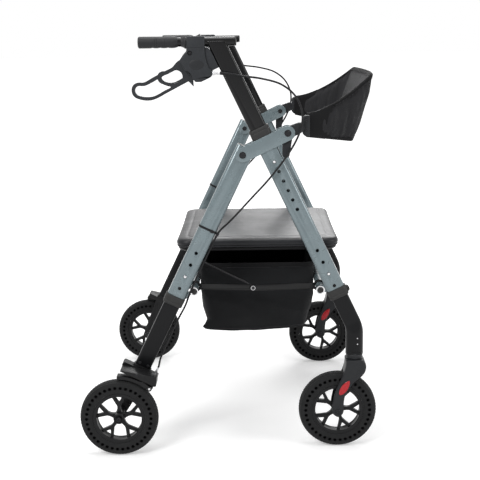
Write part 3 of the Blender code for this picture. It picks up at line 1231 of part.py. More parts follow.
def brake_cable():
    """The cable from the lever's barrel, looped forward, then down the rear tube to the brake."""
    start = cable_start()
    side = TUBE_DEPTH / 2 + PLATE_THICKNESS + CABLE_RADIUS + CABLE_STANDOFF
    down = BRACKET_DISTANCE
    edge = TUBE_WIDTH / 2 + CABLE_RADIUS + CABLE_STANDOFF / 2
    inside = bracket_inside()
    end_side = inside + (shoe_inner_side() - inside) * CABLE_END_SHARE
    nose = rear_point(down - 2 * GAP, BRACKET_FRONT_REACH - BRACKET_NOSE / 2, end_side)
    points = [start + Vector((2 * GAP, 0, 0)), start + Vector((BARREL_LENGTH, -0.18 * BARREL_LENGTH, 0))]
    for share, reach in ((0.9648, 0.279), (0.9270, 0.546), (0.8566, 0.776), (0.7258, 0.916),
                         (0.5446, 0.958), (0.3635, 0.906), (0.1823, 0.782)):
        middle = PIVOT + (start - PIVOT) * share
        points.append(Vector((middle.x + CABLE_LOOP * reach, -FRAME_Y - side, middle.z)))
    points[2].y += CABLE_STANDOFF
    for share, reach in ((-0.0674, 0.540), (0.0365, 0.465), (0.1521, 0.359), (0.2604, 0.267)):
        points.append(rear_point(down * share, CABLE_LOOP * reach, side))
    points[-1].y += 1.5 * CABLE_STANDOFF
    for share, away, out in (
        (0.328, 0.0010, 1.67), (0.393, 0, 1), (0.525, 0, 1), (0.623, 0.0020, 1), (0.672, 0.0045, 1),
        (0.738, 0.0030, 1), (0.852, 0.0030, 1), (0.934, 0.0060, 0.33),
    ):
        points.append(rear_point(down * share, edge + away, CABLE_BESIDE * out))
    points += [nose - REAR_DOWN * down * 0.036, nose]
    curve = bpy.data.curves.new("brake_cable", "CURVE")
    curve.dimensions = "3D"
    spline = curve.splines.new("POLY")
    path = smooth_through(points, CABLE_POINTS)
    spline.points.add(len(path) - 1)
    for knot, point in zip(spline.points, path):
        knot.co = (*point, 1)
    curve.bevel_depth = CABLE_RADIUS
    curve.bevel_resolution = 2
    curve.use_fill_caps = True
    curve.materials.append(material("cable_black", *FINISHES["cable_black"]))
    right = bpy.data.objects.new("brake_cable_r", curve)
    bpy.context.scene.collection.objects.link(right)
    twin = curve.copy()
    for knot in twin.splines[0].points:
        x, y, z, w = knot.co
        knot.co = (x, -y, z, w)
    left = bpy.data.objects.new("brake_cable_l", twin)
    bpy.context.scene.collection.objects.link(left)
    return right, left


def empty(name, location):
    """A joint's axis: the pieces of one moving body hang from it."""
    obj = bpy.data.objects.new(name, None)
    obj.location = location
    obj.empty_display_size = 0.03
    bpy.context.scene.collection.objects.link(obj)
    return obj


def attach(child, parent):
    """Parents one object to another without moving it."""
    bpy.context.view_layer.update()
    child.parent = parent
    child.matrix_parent_inverse = parent.matrix_world.inverted()


def build():
    clear_scene()
    root = empty("root", (0, 0, 0))
    rear = empty("rear_fold", PIVOT)
    bodies = {"root": root, "rear": rear}
    attach(rear, root)

    def both(pieces, right_parent, left_parent):
        for piece, parent in zip(pieces, (right_parent, left_parent)):
            attach(piece, parent)

    both(front_frame(), root, root)
    both(handle_collar(), root, root)
    both(front_leg_collar(), root, root)
    attach(saddled_cross_tube("front_cross_tube", True), root)
    attach(seat_rail("front_seat_rail", True), root)
    both(rear_tube(), rear, rear)
    both(rear_leg_collar(), rear, rear)
    attach(saddled_cross_tube("rear_cross_tube", False), rear)
    attach(seat_rail("rear_seat_rail", False), rear)

    sides = (("r", -1), ("l", 1))
    for name, parent, place in (
        ("handle", root, front_point(HANDLE_HOLE_STATION, 0, 0)),
        ("front_leg", root, front_point(FRONT_LEG_HOLE_STATION, 0, 0)),
        ("rear_leg", rear, rear_point(REAR_LEG_HOLE_DISTANCE, 0, 0)),
    ):
        for suffix, side in sides:
            bodies[f"{name}_{suffix}"] = empty(f"{name}_slide_{suffix}", (place.x, side * FRAME_Y, place.z))
            attach(bodies[f"{name}_{suffix}"], parent)
            button = empty(f"{name}_button_axis_{suffix}", (place.x, side * FRAME_Y, place.z))
            bodies[f"{name}_button_{suffix}"] = button
            attach(button, bodies[f"{name}_{suffix}"])
    shoe_at = rear_point(*shoe_pivot(), 0)
    for name, parent, place in (
        ("lever", "handle", (LEVER_PIVOT_X, FRAME_Y, LEVER_PIVOT_Z)),
        ("caster", "front_leg", (CASTER_X, FRAME_Y, caster_top_z())),
        ("rear_wheel", "rear_leg", (REAR_AXLE.x, REAR_WHEEL_Y, REAR_AXLE.z)),
        ("brake_shoe", "rear_leg", (shoe_at.x, REAR_WHEEL_Y, shoe_at.z)),
        ("front_wheel", "caster", (FRONT_AXLE.x, FRAME_Y, FRONT_AXLE.z)),
    ):
        for suffix, side in sides:
            x, y, z = place
            bodies[f"{name}_{suffix}"] = empty(f"{name}_axis_{suffix}", (x, side * y, z))
            attach(bodies[f"{name}_{suffix}"], bodies[f"{parent}_{suffix}"])

    for pieces, body in (
        (handle_post(), "handle"), (grip(), "handle"), (brake_housing(), "handle"),
        (brake_lever(), "lever"), (front_leg(), "front_leg"), (rear_leg(), "rear_leg"),
        (caster_fork(), "caster"), (fork_reflector(), "caster"),
        (rear_wheel_bracket(), "rear_leg"), (brake_shoe(), "brake_shoe"),
        (tyre("rear_tyre", (REAR_AXLE.x, -REAR_WHEEL_Y, REAR_AXLE.z)), "rear_wheel"),
        (rim("rear_rim", (REAR_AXLE.x, -REAR_WHEEL_Y, REAR_AXLE.z), math.pi / 2), "rear_wheel"),
        (tyre("front_tyre", (FRONT_AXLE.x, -FRAME_Y, FRONT_AXLE.z)), "front_wheel"),
        (rim("front_rim", (FRONT_AXLE.x, -FRAME_Y, FRONT_AXLE.z), 0.0), "front_wheel"),
        (snap_button("handle_button", front_point, HANDLE_HOLE_STATION, MEMBER_DEPTH, TUBE_DEPTH, 1),
         "handle_button"),
        (snap_button("front_leg_button", front_point, FRONT_LEG_HOLE_STATION, MEMBER_DEPTH,
                     TUBE_DEPTH, -1), "front_leg_button"),
        (snap_button("rear_leg_button", rear_point, REAR_LEG_HOLE_DISTANCE, REAR_MEMBER_DEPTH,
                     REAR_TUBE_DEPTH, 1), "rear_leg_button"),
    ):
        both(pieces, bodies[f"{body}_r"], bodies[f"{body}_l"])

    front_brace = empty("brace_front_axis", (cross_tube_x(True), 0, CROSS_TUBE_Z))
    rear_brace = empty("brace_rear_axis", (cross_tube_x(False), 0, CROSS_TUBE_Z))
    seat = empty("seat_axis", (frame_tube_x(SEAT_RAIL_Z, True), 0, SEAT_RAIL_Z))
    backrest = empty("backrest_axis", BACKREST_PIVOT)
    for axis, parent in ((front_brace, root), (rear_brace, rear), (seat, root), (backrest, root)):
        attach(axis, parent)
    bars = brace_bars()
    both(bars[:2], front_brace, front_brace)
    both(bars[2:], rear_brace, rear_brace)
    attach(seat_pan(), seat)
    attach(seat_cushion(), seat)
    attach(bag(), root)
    attach(backrest_band(), backrest)
    both(backrest_bracket(), backrest, backrest)
    both(brake_cable(), root, root)


build()
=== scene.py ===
"""The looks of the folding rollator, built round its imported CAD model.

Metres throughout, in the CAD model's frame: +X the way the walker faces, +Y the walker's left,
+Z up, the floor at Z = 0. Pieces ending in _r are on the walker's right, nearest the camera.
"""

import json
import math

import bmesh
import bpy
from mathutils import Matrix, Vector, noise
from mathutils.geometry import tessellate_polygon


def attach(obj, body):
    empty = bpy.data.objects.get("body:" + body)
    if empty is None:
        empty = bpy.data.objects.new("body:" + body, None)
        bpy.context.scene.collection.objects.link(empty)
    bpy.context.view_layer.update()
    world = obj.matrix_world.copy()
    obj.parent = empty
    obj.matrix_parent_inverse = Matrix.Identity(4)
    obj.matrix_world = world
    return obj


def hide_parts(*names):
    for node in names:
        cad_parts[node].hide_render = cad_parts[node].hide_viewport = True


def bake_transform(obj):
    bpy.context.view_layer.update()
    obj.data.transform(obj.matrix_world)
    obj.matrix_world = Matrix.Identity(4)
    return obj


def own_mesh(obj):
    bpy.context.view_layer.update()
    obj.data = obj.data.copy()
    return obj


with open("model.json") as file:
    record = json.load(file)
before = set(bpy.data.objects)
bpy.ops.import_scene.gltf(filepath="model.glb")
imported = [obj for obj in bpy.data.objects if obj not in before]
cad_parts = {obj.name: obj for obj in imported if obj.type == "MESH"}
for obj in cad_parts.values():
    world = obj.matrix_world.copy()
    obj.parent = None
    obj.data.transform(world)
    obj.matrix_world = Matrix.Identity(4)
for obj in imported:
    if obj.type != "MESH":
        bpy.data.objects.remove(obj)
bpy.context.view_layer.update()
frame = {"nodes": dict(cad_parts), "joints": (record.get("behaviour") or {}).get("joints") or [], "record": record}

JOINTS = {joint["name"]: joint for joint in frame["joints"]}
SIDES = (("r", -1), ("l", 1))

RIGHT, SKY = Vector((0, -1, 0)), Vector((0, 0, 1))

# Places and directions of the frame, from the record's joints
FRONT_UP = Vector(JOINTS["handle_height_r"]["axis"]).normalized()
FRONT_ACROSS = Vector((FRONT_UP.z, 0, -FRONT_UP.x))
REAR_UP = Vector(JOINTS["rear_leg_height_r"]["axis"]).normalized()
REAR_ACROSS = Vector((REAR_UP.z, 0, -REAR_UP.x))
PIVOT = Vector(JOINTS["rear_fold"]["pos_m"])
BACKREST_PIVOT = Vector(JOINTS["backrest_flip"]["pos_m"])
FRONT_WHEEL = Vector(JOINTS["front_wheel_spin_l"]["pos_m"])
REAR_WHEEL = Vector(JOINTS["rear_wheel_spin_l"]["pos_m"])
FRAME_Y = FRONT_WHEEL.y


def linked(name, data):
    """A new object of the scene that holds the mesh, lamp or camera."""
    obj = bpy.data.objects.new(name, data)
    bpy.context.scene.collection.objects.link(obj)
    return obj


def mesh_from(name, data):
    """The bmesh made a mesh, and freed."""
    mesh = bpy.data.meshes.new(name)
    data.to_mesh(mesh)
    data.free()
    return mesh


def mesh_object(name, data, finish, smooth=40):
    """Makes the bmesh an object with outward normals; edges sharper than smooth degrees stay sharp."""
    bmesh.ops.remove_doubles(data, verts=data.verts, dist=1e-6)
    bmesh.ops.recalc_face_normals(data, faces=data.faces)
    mesh = mesh_from(name, data)
    obj = linked(name, mesh)
    mesh.shade_smooth()
    mesh.set_sharp_from_angle(angle=math.radians(smooth))
    if finish:
        mesh.materials.append(finish)
    return obj


def applied(obj, smooth=40):
    """The object with its modifiers made part of its mesh."""
    depsgraph = bpy.context.evaluated_depsgraph_get()
    old = obj.data
    obj.data = bpy.data.meshes.new_from_object(obj.evaluated_get(depsgraph))
    obj.modifiers.clear()
    obj.data.shade_smooth()
    obj.data.set_sharp_from_angle(angle=math.radians(smooth))
    bpy.data.meshes.remove(old)
    return obj


def bevelled(obj, width, segments=3, angle=30, smooth=40):
    """Rounds the edges that are sharper than angle degrees."""
    modifier = obj.modifiers.new("bevel", "BEVEL")
    modifier.width, modifier.segments = width, segments
    modifier.limit_method, modifier.angle_limit = "ANGLE", math.radians(angle)
    modifier.harden_normals = False
    return applied(obj, smooth)


def carved(obj, tool, operation="DIFFERENCE"):
    """Cuts the tool out of the object, or joins it on, and removes the tool."""
    modifier = obj.modifiers.new("carve", "BOOLEAN")
    modifier.operation, modifier.solver, modifier.object = operation, "EXACT", tool
    applied(obj)
    bpy.data.objects.remove(tool, do_unlink=True)
    return obj


def merged(name, *objs):
    """One object holding the meshes of several, each keeping its own material."""
    data = bmesh.new()
    materials = []
    for obj in objs:
        before = len(data.faces)
        data.from_mesh(obj.data)
        data.faces.ensure_lookup_table()
        slots = list(obj.data.materials)
        for face in data.faces[before:]:
            finish = slots[face.material_index] if slots else None
            if finish not in materials:
                materials.append(finish)
            face.material_index = materials.index(finish)
    mesh = mesh_from(name, data)
    for finish in materials:
        mesh.materials.append(finish)
    for obj in objs:
        bpy.data.objects.remove(obj, do_unlink=True)
    return linked(name, mesh)


def mirrored(obj, name):
    """The same piece on the other side of the plane Y = 0."""
    data = bmesh.new()
    data.from_mesh(obj.data)
    bmesh.ops.scale(data, vec=(1, -1, 1), verts=data.verts)
    bmesh.ops.reverse_faces(data, faces=data.faces)
    mesh = mesh_from(name, data)
    for finish in obj.data.materials:
        mesh.materials.append(finish)
    return linked(name, mesh)


def turns(count):
    """Angles spread evenly round a full turn, in radians."""
    return [2 * math.pi * k / count for k in range(count)]


def oval(across, up, steps):
    """A closed ring of points round the origin."""
    return [(across * math.cos(t), up * math.sin(t)) for t in turns(steps)]


def revolved(name, profile, centre, axis, finish, steps=64, smooth=40):
    """A solid of revolution; profile is a closed list of (radius, distance along the axis)."""
    axis = Vector(axis).normalized()
    side = axis.orthogonal().normalized()
    other = axis.cross(side)
    data = bmesh.new()
    rings = []
    for radius, along in profile:
        middle = Vector(centre) + axis * along
        if radius < 1e-6:
            rings.append([data.verts.new(middle)] * steps)
            continue
        spokes = [side * math.cos(t) + other * math.sin(t) for t in turns(steps)]
        rings.append([data.verts.new(middle + spoke * radius) for spoke in spokes])
    for first, second in zip(rings, rings[1:] + rings[:1]):
        if first[0] is first[1] and second[0] is second[1]:
            continue
        for i in range(steps):
            j = (i + 1) % steps
            data.faces.new(list(dict.fromkeys([first[i], first[j], second[j], second[i]])))
    return mesh_object(name, data, finish, smooth)


def rod(name, start, end, radius, finish, steps=32, edge=0.0):
    """A round bar, its ends chamfered by edge."""
    length = (Vector(end) - Vector(start)).length
    profile = [(0, 0), (radius, 0), (radius, length), (0, length)]
    if edge:
        profile[1:3] = [(radius - edge, 0), (radius, edge), (radius, length - edge), (radius - edge, length)]
    return revolved(name, profile, start, Vector(end) - Vector(start), finish, steps)


def bridged(data, first, second):
    """Faces between two rings of as many vertices."""
    for i in range(len(first)):
        j = (i + 1) % len(first)
        data.faces.new([first[i], first[j], second[j], second[i]])


def lofted(name, rings, finish, closed=False, smooth=40):
    """A skin over rings of points, capped at both ends unless the rings close on themselves."""
    data = bmesh.new()
    rows = [[data.verts.new(point) for point in ring] for ring in rings]
    pairs = list(zip(rows, rows[1:])) + ([(rows[-1], rows[0])] if closed else [])
    for first, second in pairs:
        bridged(data, first, second)
    if not closed:
        data.faces.new(rows[0][::-1])
        data.faces.new(rows[-1])
    return mesh_object(name, data, finish, smooth)


def extruded(name, outline, low, high, place, finish, holes=()):
    """A plate drawn between two heights; place turns (across, up, height) into a world point."""
    loops = [[Vector((u, v, 0)) for u, v in loop] for loop in (outline, *holes)]
    flat = [point for loop in loops for point in loop]
    data = bmesh.new()
    ends = [[data.verts.new(place(p.x, p.y, height)) for p in flat] for height in (low, high)]
    for triangle in tessellate_polygon(loops):
        data.faces.new([ends[0][i] for i in triangle])
        data.faces.new([ends[1][i] for i in reversed(triangle)])
    start = 0
    for loop in loops:
        for i in range(len(loop)):
            a, b = start + i, start + (i + 1) % len(loop)
            data.faces.new([ends[0][a], ends[0][b], ends[1][b], ends[1][a]])
        start += len(loop)
    bmesh.ops.dissolve_limit(data, angle_limit=math.radians(1), verts=data.verts, edges=data.edges)
    return mesh_object(name, data, finish)


def arc(centre, radius, start, end, steps):
    """Points from one angle to another round a centre, both ends in."""
    angles = [start + (end - start) * i / steps for i in range(steps + 1)]
    return [(centre[0] + radius * math.cos(t), centre[1] + radius * math.sin(t)) for t in angles]


def circle(centre, radius, steps):
    """A closed ring of points round a centre."""
    return arc(centre, radius, 0, 2 * math.pi, steps)[:-1]


def round_rectangle(width, depth, corner, steps=8):
    """A rectangle round the origin with quarter rounds at its corners."""
    points = []
    for quarter, (sx, sy) in enumerate(((1, 1), (-1, 1), (-1, -1), (1, -1))):
        middle = (sx * (width / 2 - corner), sy * (depth / 2 - corner))
        points += arc(middle, corner, math.pi / 2 * quarter, math.pi / 2 * (quarter + 1), steps)
    return points


def swept(name, path, section, finish, up=Vector((0, 1, 0)), closed=False, smooth=40):
    """A section of (across, up) points carried along a path that keeps one direction up."""
    rings = []
    count = len(path)
    for i, point in enumerate(path):
        if closed:
            before, after = path[i - 1], path[(i + 1) % count]
        else:
            before, after = path[max(i - 1, 0)], path[min(i + 1, count - 1)]
        along = (Vector(after) - Vector(before)).normalized()
        across = along.cross(up).normalized()
        lift = across.cross(along).normalized()
        shape = section(i / (count - 1)) if callable(section) else section
        rings.append([Vector(point) + across * u + lift * v for u, v in shape])
    return lofted(name, rings, finish, closed, smooth)


def smooth_path(points, count, closed=False):
    """Points spread evenly along a centripetal curve through the given ones."""
    knots = [Vector(p) for p in points]
    if closed:
        knots = [knots[-1], *knots, knots[0], knots[1]]
    else:
        knots = [2 * knots[0] - knots[1], *knots, 2 * knots[-1] - knots[-2]]
    dense = []
    for a, b, c, d in zip(knots, knots[1:], knots[2:], knots[3:]):
        t = [0.0]
        for p, q in ((a, b), (b, c), (c, d)):
            t.append(t[-1] + max((q - p).length, 1e-9) ** 0.5)
        for i in range(24):
            s = t[1] + (t[2] - t[1]) * i / 24
            ab = a.lerp(b, (s - t[0]) / (t[1] - t[0]))
            bc = b.lerp(c, (s - t[1]) / (t[2] - t[1]))
            cd = c.lerp(d, (s - t[2]) / (t[3] - t[2]))
            abc = ab.lerp(bc, (s - t[0]) / (t[2] - t[0]))
            bcd = bc.lerp(cd, (s - t[1]) / (t[3] - t[1]))
            dense.append(abc.lerp(bcd, (s - t[1]) / (t[2] - t[1])))
    dense.append(knots[-2])
    walked = [0.0]
    for p, q in zip(dense, dense[1:]):
        walked.append(walked[-1] + (q - p).length)
    result, k = [], 0
    for i in range(count):
        goal = walked[-1] * i / (count if closed else count - 1)
        while k < len(dense) - 2 and walked[k + 1] < goal:
            k += 1
        result.append(dense[k].lerp(dense[k + 1], (goal - walked[k]) / (walked[k + 1] - walked[k])))
    return result


def smooth_flat(points, count, closed=False):
    """smooth_path for points of a plane."""
    return [(p.x, p.y) for p in smooth_path([(u, v, 0) for u, v in points], count, closed)]


def node_input(tree, socket, value):
    """Sets a socket to a value, or links it to another node's output."""
    if isinstance(value, bpy.types.NodeSocket):
        tree.links.new(value, socket)
    else:
        socket.default_value = value


def fill_in(tree, shader, inputs):
    """Sets several of the shader's inputs by name."""
    for name, value in inputs.items():
        node_input(tree, shader.inputs[name], value)


def maths(tree, operation, *values):
    """The output of a math node."""
    node = tree.nodes.new("ShaderNodeMath")
    node.operation = operation
    for socket, value in zip(node.inputs, values):
        node_input(tree, socket, value)
    return node.outputs[0]


def place_of(tree, stretch=(1, 1, 1)):
    """The point in the row frame, in metres, stretched along each axis."""
    coordinates = tree.nodes.new("ShaderNodeTexCoord").outputs["Object"]
    mapping = tree.nodes.new("ShaderNodeMapping")
    mapping.inputs["Scale"].default_value = stretch
    tree.links.new(coordinates, mapping.inputs["Vector"])
    return mapping.outputs[0]


def noise_of(tree, scale, detail=4.0, stretch=(1, 1, 1), rough=0.6):
    """Noise of the piece's own place, in cycles a metre."""
    node = tree.nodes.new("ShaderNodeTexNoise")
    node.inputs["Scale"].default_value = scale
    node.inputs["Detail"].default_value = detail
    node.inputs["Roughness"].default_value = rough
    tree.links.new(place_of(tree, stretch), node.inputs["Vector"])
    return node.outputs["Fac"]


def cells_of(tree, scale):
    """A Voronoi node of the piece's own place, in cells a metre."""
    node = tree.nodes.new("ShaderNodeTexVoronoi")
    node.inputs["Scale"].default_value = scale
    tree.links.new(place_of(tree), node.inputs["Vector"])
    return node


def span(tree, value, low, high, start, end):
    """Maps a value from one range to another, held at the ends."""
    node = tree.nodes.new("ShaderNodeMapRange")
    for socket, setting in zip(node.inputs[:5], (value, low, high, start, end)):
        node_input(tree, socket, setting)
    return node.outputs[0]


def blended(tree, factor, first, second):
    """A colour between two others."""
    node = tree.nodes.new("ShaderNodeMix")
    node.data_type = "RGBA"
    node_input(tree, node.inputs[0], factor)
    for socket, colour in ((node.inputs[6], first), (node.inputs[7], second)):
        node_input(tree, socket, colour if isinstance(colour, bpy.types.NodeSocket) else (*colour, 1))
    return node.outputs[2]


def bumped(tree, shader, *layers):
    """Bump from several (height, depth in metres) layers, one over another."""
    normal = None
    for height, depth in layers:
        node = tree.nodes.new("ShaderNodeBump")
        node.inputs["Distance"].default_value = depth
        node.inputs["Strength"].default_value = 1.0
        tree.links.new(height, node.inputs["Height"])
        if normal:
            tree.links.new(normal, node.inputs["Normal"])
        normal = node.outputs["Normal"]
    tree.links.new(normal, shader.inputs["Normal"])


def new_material(name):
    """A material with its node tree and its shader."""
    made = bpy.data.materials.new(name)
    made.use_nodes = True
    tree = made.node_tree
    return made, tree, tree.nodes["Principled BSDF"]


def tinted(colour, factor):
    """The colour made lighter or darker."""
    return tuple(min(1.0, c * factor) for c in colour)


def coated(name, colour, rough, metallic=0.0, coat=0.0, orange_peel=4e-5, wear=0.25, mirror=0.5):
    """Paint: a clear coat over colour, orange peel, faint clouding and fine scuffs."""
    made, tree, shader = new_material(name)
    clouds = noise_of(tree, 28, 3)
    scuffs = noise_of(tree, 900, 2, (1, 1, 0.08))
    scuffed = span(tree, scuffs, 0.66, 0.74, 0.0, wear)
    base = blended(tree, span(tree, clouds, 0.3, 0.7, 0, 1), tinted(colour, 0.93), tinted(colour, 1.06))
    smear = span(tree, clouds, 0.3, 0.7, rough * 0.85, rough * 1.2)
    fill_in(tree, shader, {
        "Base Color": blended(tree, scuffed, base, tinted(colour, 1.5)),
        "Roughness": maths(tree, "ADD", smear, maths(tree, "MULTIPLY", scuffed, 0.25)),
        "Metallic": metallic, "Coat Weight": coat, "Coat Roughness": 0.08, "Specular IOR Level": mirror,
    })
    bumped(tree, shader, (noise_of(tree, 260, 2), orange_peel))
    return made


def moulded(name, colour, rough, grain=1500, depth=6e-5, sheen=0.0):
    """Moulded plastic or rubber: fine leathery grain, a little dust in the hollows, smoother patches."""
    made, tree, shader = new_material(name)
    cells = cells_of(tree, grain)
    clouds = noise_of(tree, 60, 4)
    dusty = span(tree, cells.outputs["Distance"], 0.2, 0.9, 0.0, 0.5)
    base = blended(tree, dusty, tinted(colour, 1.15), tinted(colour, 0.8))
    fill_in(tree, shader, {
        "Base Color": blended(tree, span(tree, clouds, 0.45, 0.75, 0, 0.5), base, tinted(colour, 1.35)),
        "Roughness": span(tree, clouds, 0.3, 0.7, rough * 0.85, min(1, rough * 1.15)),
        "Sheen Weight": sheen, "Specular IOR Level": 0.17,
    })
    bumped(tree, shader, (cells.outputs["Distance"], depth), (noise_of(tree, 400, 3), depth * 0.6))
    return made


def metal(name, colour, rough, lay=(1, 1, 0.02)):
    """Bare metal with the fine parallel marks of its finishing."""
    made, tree, shader = new_material(name)
    marks = noise_of(tree, 1800, 3, lay)
    streaks = span(tree, marks, 0.35, 0.65, 0, 1)
    fill_in(tree, shader, {
        "Base Color": blended(tree, streaks, tinted(colour, 0.85), tinted(colour, 1.05)),
        "Roughness": span(tree, marks, 0.3, 0.7, rough * 0.7, rough * 1.3), "Metallic": 1.0,
    })
    bumped(tree, shader, (marks, 2e-5))
    return made


def woven(name, colour, pitch=0.0011, depth=1.6e-4, rough=0.85, sheen=0.25, shade_contrast=0.45):
    """Plain woven cloth: warp and weft over and under each other, seen on faces that look along X or Y; the raised
    threads are painted lighter and the low ones darker, as painted light and shade.
    """
    made, tree, shader = new_material(name)
    split = tree.nodes.new("ShaderNodeSeparateXYZ")
    tree.links.new(place_of(tree), split.inputs[0])
    wobble = maths(tree, "MULTIPLY", noise_of(tree, 45, 2), pitch * 3)
    turn = 2 * math.pi / pitch
    level = maths(tree, "ADD", maths(tree, "ADD", split.outputs[0], split.outputs[1]), wobble)
    upright = maths(tree, "ADD", split.outputs[2], wobble)
    warp = maths(tree, "SINE", maths(tree, "MULTIPLY", level, turn))
    weft = maths(tree, "SINE", maths(tree, "MULTIPLY", upright, turn))
    cross = maths(tree, "MULTIPLY", warp, weft)
    fuzz = noise_of(tree, 1500, 3)
    height = maths(tree, "ADD", maths(tree, "MULTIPLY", cross, 0.5), maths(tree, "MULTIPLY", fuzz, 0.6))
    # Painted light and shade: raised threads lighter, the low ones between them darker.
    weave_light_and_shade = span(tree, height, -0.3, 0.9, 0, 1)
    faded = span(tree, noise_of(tree, 14, 4), 0.35, 0.7, 0, 0.6)
    base = blended(tree, weave_light_and_shade, tinted(colour, 1 - shade_contrast), tinted(colour, 1 + shade_contrast))
    fill_in(tree, shader, {
        "Base Color": blended(tree, faded, base, tinted(colour, 1.35)), "Roughness": rough,
        "Sheen Weight": sheen, "Sheen Roughness": 0.5, "Specular IOR Level": 0.12,
    })
    bumped(tree, shader, (height, depth), (noise_of(tree, 160, 3), depth * 1.5))
    return made


def prismatic(name, colour):
    """Clear red plastic over rows of small corner prisms, each painted lighter at its middle and darker at its
    rim: a painted glint and painted shade.
    """
    made, tree, shader = new_material(name)
    cells = cells_of(tree, 420)
    cells.distance = "CHEBYCHEV"
    cells.inputs["Randomness"].default_value = 0.0
    facet = cells.outputs["Distance"]
    # Painted glint and shade: each prism lighter at its middle, darker toward its rim.
    edges = span(tree, facet, 0.1, 0.5, 0, 1)
    fill_in(tree, shader, {
        "Base Color": blended(tree, edges, tinted(colour, 1.5), tinted(colour, 0.55)),
        "Roughness": span(tree, noise_of(tree, 90), 0.3, 0.7, 0.10, 0.2),
        "Coat Weight": 0.15, "Specular IOR Level": 0.3,
    })
    bumped(tree, shader, (facet, 1.2e-4))
    return made


def leather(name, colour):
    """Seat skin: pebbled grain, fine wrinkles between, a broad soft sheen, smoother where people sit."""
    made, tree, shader = new_material(name)
    cells = cells_of(tree, 620)
    cells.feature = "SMOOTH_F1"
    creases = noise_of(tree, 210, 5)
    worn = span(tree, noise_of(tree, 9, 3), 0.35, 0.7, 0, 1)
    pebbles = span(tree, cells.outputs["Distance"], 0.1, 0.6, 0, 1)
    base = blended(tree, pebbles, tinted(colour, 1.2), tinted(colour, 0.75))
    fill_in(tree, shader, {
        "Base Color": blended(tree, worn, base, tinted(colour, 1.3)),
        "Roughness": span(tree, worn, 0, 1, 0.40, 0.30),
        "Sheen Weight": 0.06, "Sheen Roughness": 0.4, "Specular IOR Level": 0.22,
    })
    bumped(tree, shader, (cells.outputs["Distance"], 1.0e-4), (creases, 1.2e-4))
    return made


FRAME_PAINT = coated("frame_paint", (0.150, 0.193, 0.208), 0.26, 0.30, 0.35, orange_peel=1.5e-5, wear=0.04)
GLOSS_BLACK = coated("gloss_black", (0.0035, 0.0035, 0.004), 0.16, 0.0, 0.06, wear=0.1, mirror=0.2)
SATIN_BLACK = coated("satin_black", (0.0050, 0.0052, 0.0060), 0.34, 0.0, 0.03, wear=0.2, mirror=0.14)
BLACK_STEEL = coated("black_steel", (0.006, 0.006, 0.0065), 0.42, 0.0, 0.03, orange_peel=7e-5, mirror=0.2)
GREY_PLASTIC = moulded("grey_plastic", (0.026, 0.028, 0.031), 0.44)
FORK_PLASTIC = moulded("fork_plastic", (0.020, 0.021, 0.023), 0.40, grain=1100)
COLLAR_PLASTIC = moulded("collar_plastic", (0.032, 0.032, 0.0315), 0.5)
GRIP_RUBBER = moulded("grip_rubber", (0.018, 0.0185, 0.020), 0.5, grain=900, depth=1.2e-4, sheen=0.15)
TYRE_RUBBER = moulded("tyre_rubber", (0.012, 0.0122, 0.0126), 0.78, grain=700, depth=1.5e-4, sheen=0.1)
# Painted shade: a near-black finish for the walls of holes, pockets and recesses, darker than the parts they are
# cut in.
HOLE_SHADE = moulded("painted_hole_shade", (0.004, 0.004, 0.0045), 0.9)
RIM_PLASTIC = moulded("rim_plastic", (0.009, 0.0092, 0.0098), 0.36)
CABLE_SLEEVE = moulded("cable_sleeve", (0.010, 0.010, 0.011), 0.40, grain=2500, depth=3e-5)
BRIGHT_STEEL = metal("bright_steel", (0.62, 0.62, 0.63), 0.24)
BLACK_BOLT = metal("black_bolt", (0.030, 0.030, 0.032), 0.34)
REFLECTOR_RED = prismatic("reflector_red", (0.50, 0.006, 0.014))
SEAT_SKIN = leather("seat_skin", (0.011, 0.0115, 0.0135))
BAG_CLOTH = woven("bag_cloth", (0.0092, 0.0096, 0.0105), sheen=0.10)
BAND_CLOTH = woven("band_cloth", (0.019, 0.019, 0.0205), pitch=0.0013, depth=2.0e-4, sheen=0.10)
HEM_CLOTH = woven("hem_cloth", (0.007, 0.007, 0.0075), pitch=0.0016, sheen=0.05)
WEBBING = woven("webbing", (0.009, 0.009, 0.010), pitch=0.0018, depth=2.5e-4, sheen=0.08)
THREAD = moulded("thread", (0.030, 0.030, 0.032), 0.7, grain=3000)


def camera_view():
    """The photograph's camera, as fitted to it."""
    right = Vector((0.99981, 0.01169, -0.01576))
    up = Vector((0.01296, 0.20997, 0.97762))
    ahead = Vector((-0.01473, 0.97764, -0.20978))
    data = bpy.data.cameras.new("camera")
    data.sensor_width = 36
    data.lens = 73.53
    data.clip_end = 50
    camera = linked("camera", data)
    place = Matrix((right, up, -ahead)).transposed().to_4x4()
    place.translation = (0.0709, -2.7319, 1.0639)
    camera.matrix_world = place
    bpy.context.scene.camera = camera


def camera_rays(tree):
    """1 for rays from the camera, mirrors and glass; 0 for the light that falls on the part."""
    path = tree.nodes.new("ShaderNodeLightPath")
    plain = maths(tree, "MAXIMUM", path.outputs["Is Camera Ray"], path.outputs["Is Transmission Ray"])
    return maths(tree, "MAXIMUM", plain, path.outputs["Is Glossy Ray"])


def floor_material():
    """Matte floor that keeps the shadow and runs out to plain white to the camera."""
    made, tree, shader = new_material("floor")
    away = tree.nodes.new("ShaderNodeVectorMath")
    away.operation = "LENGTH"
    tree.links.new(place_of(tree), away.inputs[0])
    glow = span(tree, away.outputs["Value"], 0.7, 2.6, FLOOR_GLOW, 1.0)
    fill_in(tree, shader, {
        "Base Color": (0.80, 0.80, 0.80, 1), "Roughness": 0.9, "Specular IOR Level": 0.1,
        "Emission Color": (1, 1, 1, 1),
        "Emission Strength": maths(tree, "MULTIPLY", glow, camera_rays(tree)),
    })
    return made


